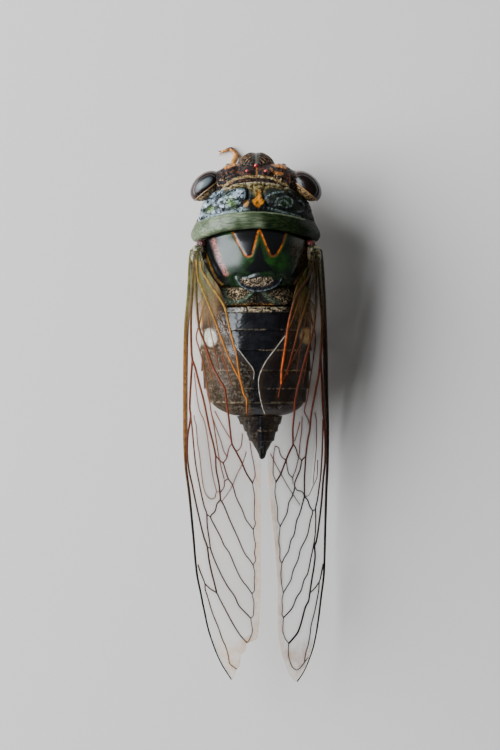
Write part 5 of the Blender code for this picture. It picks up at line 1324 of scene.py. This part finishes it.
# On the left side: hip, start of the thigh, knee, ankle, foot, ball of the foot, claw
LEGS = {
    "foreleg_left": [(-2.2, 19.6, 4.2), (-2.5, 20.2, 2.3), (-4.3, 22.7, 2.5), (-2.4, 25.5, 1.15),
        (-2.0, 26.5, 0.3), (-2.6, 27.2, 0.22), (-3.5, 26.9, 0.2)],
    "foreleg_right": [(-2.2, 19.6, 4.2), (-2.5, 20.2, 2.3), (-4.8, 22.4, 2.5), (-4.2, 24.6, 1.2),
        (-3.4, 24.7, 0.3), (-2.7, 24.2, 0.18), (-2.1, 23.5, 0.18)],
    "midleg": [(-2.3, 15.6, 4.0), (-2.5, 15.0, 2.2), (-5.0, 13.4, 2.3), (-5.4, 9.6, 1.2), (-5.2, 8.2, 0.3),
        (-4.9, 7.2, 0.18), (-4.6, 6.3, 0.18)],
    "hindleg": [(-2.2, 12.2, 4.0), (-2.3, 11.6, 2.1), (-4.4, 7.8, 2.1), (-4.0, 4.2, 1.2), (-3.8, 2.8, 0.3),
        (-3.6, 1.8, 0.18), (-3.4, 0.9, 0.18)],
}
THIGH = {"foreleg": 0.8, "midleg": 0.52, "hindleg": 0.52}    # radius of a thigh
# Along the beak and the left feeler: x, y, z, radius
ROSTRUM = [
    (0.0, 23.6, 3.9, 0.75), (0.0, 22.3, 2.9, 0.55), (0.0, 20.0, 2.3, 0.45), (0.0, 17.5, 1.9, 0.36),
    (0.0, 15.8, 1.7, 0.2),
]
ANTENNA = [
    (2.5, 24.6, 7.3, 0.3), (2.65, 24.93, 7.0, 0.26), (2.72, 25.02, 6.85, 0.13), (2.9, 25.15, 6.2, 0.1),
    (3.0, 25.2, 5.4, 0.07), (3.05, 25.15, 4.7, 0.04),
]


def rod(rows, spacing, sides):
    """A round rod along rows of x, y, z and radius."""
    line = curve([row[:3] for row in rows], spacing)
    part, places = np.linspace(0, 1, len(line)), np.linspace(0, 1, len(rows))
    radius = np.interp(part, places, [row[3] for row in rows])
    return tube(line, radius, radius, sides)


def limb(knots, radii, shares):
    """A rod along the knots whose radius follows `radii` at the given shares of its length."""
    line = curve(knots, 0.12)
    radius = np.interp(np.linspace(0.0, 1.0, len(line)), shares, radii)
    return tube(line, radius, radius, 18)


def claw(start, end, side):
    """A hooked claw from the end of a foot, bent down and outwards."""
    end = np.array(end)
    ahead = end - np.array(start)
    ahead /= np.linalg.norm(ahead)
    out = np.array([ahead[1], -ahead[0], 0.0]) * side
    knots = [end - ahead * 0.1, end + ahead * 0.12 + out * 0.1 + (0, 0, 0.03),
             end + ahead * 0.3 + out * 0.2, end + ahead * 0.36 + out * 0.24 - (0, 0, 0.14)]
    line = curve(knots, 0.04)
    size = np.linspace(0.08, 0.02, len(line))
    return tube(line, size, size, 8)


def spines(start, end, count, size, phase):
    """Short stout spines in two rows under a shin."""
    start, end = np.array(start), np.array(end)
    ahead = (end - start) / np.linalg.norm(end - start)
    side = np.cross(ahead, (0.0, 0.0, 1.0))
    radius = np.array([size, size * 0.7, size * 0.3])
    made = []
    for number in range(count):
        foot = start + (end - start) * (0.25 + 0.7 * (number + phase) / count)
        out = side * (1 if number % 2 else -1) * 0.8 - np.array([0, 0, 0.6])
        line = np.array([foot + out * 0.2, foot + out * 0.35 + ahead * 0.1, foot + out * 0.5 + ahead * 0.3])
        line[:, 2] = np.maximum(line[:, 2], 0.08)
        made.append(tube(line, radius, radius, 6))
    return made


def above_floor(parts):
    """The parts, with what would reach below the floor pressed flat on it."""
    for points, _ in parts:
        points[:, 2] = np.maximum(points[:, 2], 0.0)
    return parts


def leg_finish():
    leg = Finish("leg_shell", roughness=0.3)
    where = leg.place()
    coat = leg.shell(where, 1.4)
    leg.start(coat["Mottle"], (0.38, 0.13, 0.02), (0.55, 0.25, 0.05))
    leg.paint(leg.noise(where, 0.9, 3.0, 0.52, 0.6), (0.06, 0.025, 0.012))
    return leg.done(coat["Height"], 0.03)


def legs():
    made = leg_finish()
    dark = Finish("claw_horn", (0.16, 0.05, 0.015), 0.25).made
    horn = Finish("feeler_horn", (0.03, 0.02, 0.015), 0.3).made
    for side, sign in SIDES:
        for kind, thigh in THIGH.items():
            joints = mirrored(LEGS.get(f"{kind}_{side}") or LEGS[kind], -sign)
            hip, start, knee, ankle, foot, ball, end = joints
            parts = [limb([hip, start], (0.95, 0.8, 0.57), (0, 0.5, 1)),
                     limb([start, knee], (thigh * 0.72, thigh * 1.02, thigh * 0.68), (0, 0.45, 1)),
                     limb([knee, ankle, foot], (0.36, 0.26, 0.3, 0.26), (0, 0.2, 0.85, 1)),
                     limb([foot, ball, end], (0.3, 0.22, 0.25, 0.18, 0.13), (0, 0.25, 0.4, 0.6, 1))]
            for joint, size in ((start, thigh * 0.88), (knee, thigh * 0.8), (foot, 0.3)):
                parts.append(lofted(ellipsoid(joint, (size,) * 3, "z", 24, 32)))
            piece(f"{kind}_{side}_limb", above_floor(parts), made, [f"{kind}_{side}"])
            hooks = [claw(ball, end, way) for way in (-1, 1)] + spines(knee, ankle, 8, 0.07, 0.3)
            piece(f"{kind}_{side}_claws", above_floor(hooks), dark)
    for side, sign in SIDES:
        feeler = rod(mirrored(ANTENNA, sign), 0.06, 12)
        piece(f"antenna_{side}_feeler", [feeler], horn, [f"antenna_{side}"])
    piece("rostrum_sheath", [rod(ROSTRUM, 0.1, 24)], made, ["rostrum"])


# Wing roots: middle and half sizes of each small plate on the right, and how red it is

ROOT_PLATES = [
    ((5.45, 17.05, 9.15), (0.5, 0.45, 0.45), 1.0), ((5.75, 16.5, 9.3), (0.62, 0.5, 0.55), 0.0),
    ((5.35, 16.1, 9.35), (0.4, 0.75, 0.5), 0.4), ((6.1, 15.85, 9.2), (0.42, 0.75, 0.5), 0.0),
    ((5.7, 15.6, 9.35), (0.35, 0.6, 0.45), 0.0),
]
HINDWING_KNOB = ((4.75, 12.0, 8.85), (0.75, 0.9, 0.5), 0.5)


def wing_roots():
    """The small plates that the wings hang from: a dark red one in front, then olive ones."""
    root = Finish("wing_root_plate", roughness=0.3)
    fine = root.noise(root.place(), 3.0, 5.0, 0.42, 0.6)
    root.start(fine, (0.02, 0.02, 0.006), (0.22, 0.2, 0.09))
    root.paint("red", (0.02, 0.006, 0.004), (0.16, 0.02, 0.015))
    made = root.done(fine, 0.06)

    def plate(sign, row, rows, columns):
        (x, y, z), half, red = row
        grid = ellipsoid((sign * x, y, z), half, "y", rows, columns)
        return lofted(np.dstack([grid, np.full(grid.shape[:2], red)]))

    for side, sign in SIDES:
        plates = [plate(sign, row, 30, 40) for row in ROOT_PLATES]
        piece(f"forewing_{side}_root", plates, made, [f"forewing_{side}"], ("red",))
        knob = plate(sign, HINDWING_KNOB, 40, 50)
        piece(f"hindwing_{side}_root", [knob], made, [f"hindwing_{side}"], ("red",))


pronotum()
mesonotum()
metanotum()
abdomen()
sound_covers()
head()
face()
simple_eyes()
eyes()
legs()
wing_roots()


# Floor, light and camera: the photo looks straight down, with a large window on the left

FLOOR_REACH = 0.6                        # metres, as are the next three
WINDOW_PLACE, WINDOW_SIZE = (-0.38, 0.09, 0.22), (0.52, 0.5)
WINDOW_AIM = (0.0, 0.005, 0.006)
CAMERA_PLACE = (-0.6 * MM, 4.0 * MM, 300.0 * MM)
SENSOR = 36.0
SEEN_HEIGHT, SEEN_FROM = 75.0, 292.0     # the picture's height, and how far off the back is


def placed(name, data, where):
    """A new object of the scene's own, such as a lamp, at a place."""
    made = bpy.data.objects.new(name, data)
    made.location = where
    bpy.context.scene.collection.objects.link(made)
    return made


def floor():
    mesh = bpy.data.meshes.new("floor")
    corners = [(x * FLOOR_REACH, y * FLOOR_REACH, 0) for x, y in ((-1, -1), (1, -1), (1, 1), (-1, 1))]
    mesh.from_pydata(corners, [], [(0, 1, 2, 3)])
    mesh.materials.append(Finish("studio_floor", (0.7, 0.66, 0.62), 0.75).made)
    placed("floor", mesh, (0, 0, 0))


def window():
    lamp = bpy.data.lights.new("window", "AREA")
    lamp.shape = "RECTANGLE"
    lamp.size, lamp.size_y = WINDOW_SIZE
    lamp.energy = 9.5
    lamp.color = (0.88, 0.94, 1.0)
    away = mathutils.Vector(WINDOW_PLACE) - mathutils.Vector(WINDOW_AIM)
    placed("window", lamp, WINDOW_PLACE).rotation_euler = away.to_track_quat("Z", "Y").to_euler()


def camera():
    lens = bpy.data.cameras.new("camera")
    lens.sensor_width = SENSOR
    lens.lens = SENSOR * SEEN_FROM / SEEN_HEIGHT
    lens.clip_start, lens.clip_end = 0.01, 5.0
    bpy.context.scene.camera = placed("camera", lens, CAMERA_PLACE)


def surroundings():
    world = bpy.data.worlds.new("room")
    world.use_nodes = True
    sky = world.node_tree.nodes["Background"]
    sky.inputs["Color"].default_value = (0.9, 0.95, 1.0, 1.0)
    sky.inputs["Strength"].default_value = 0.1
    bpy.context.scene.world = world


floor()
window()
camera()
surroundings()
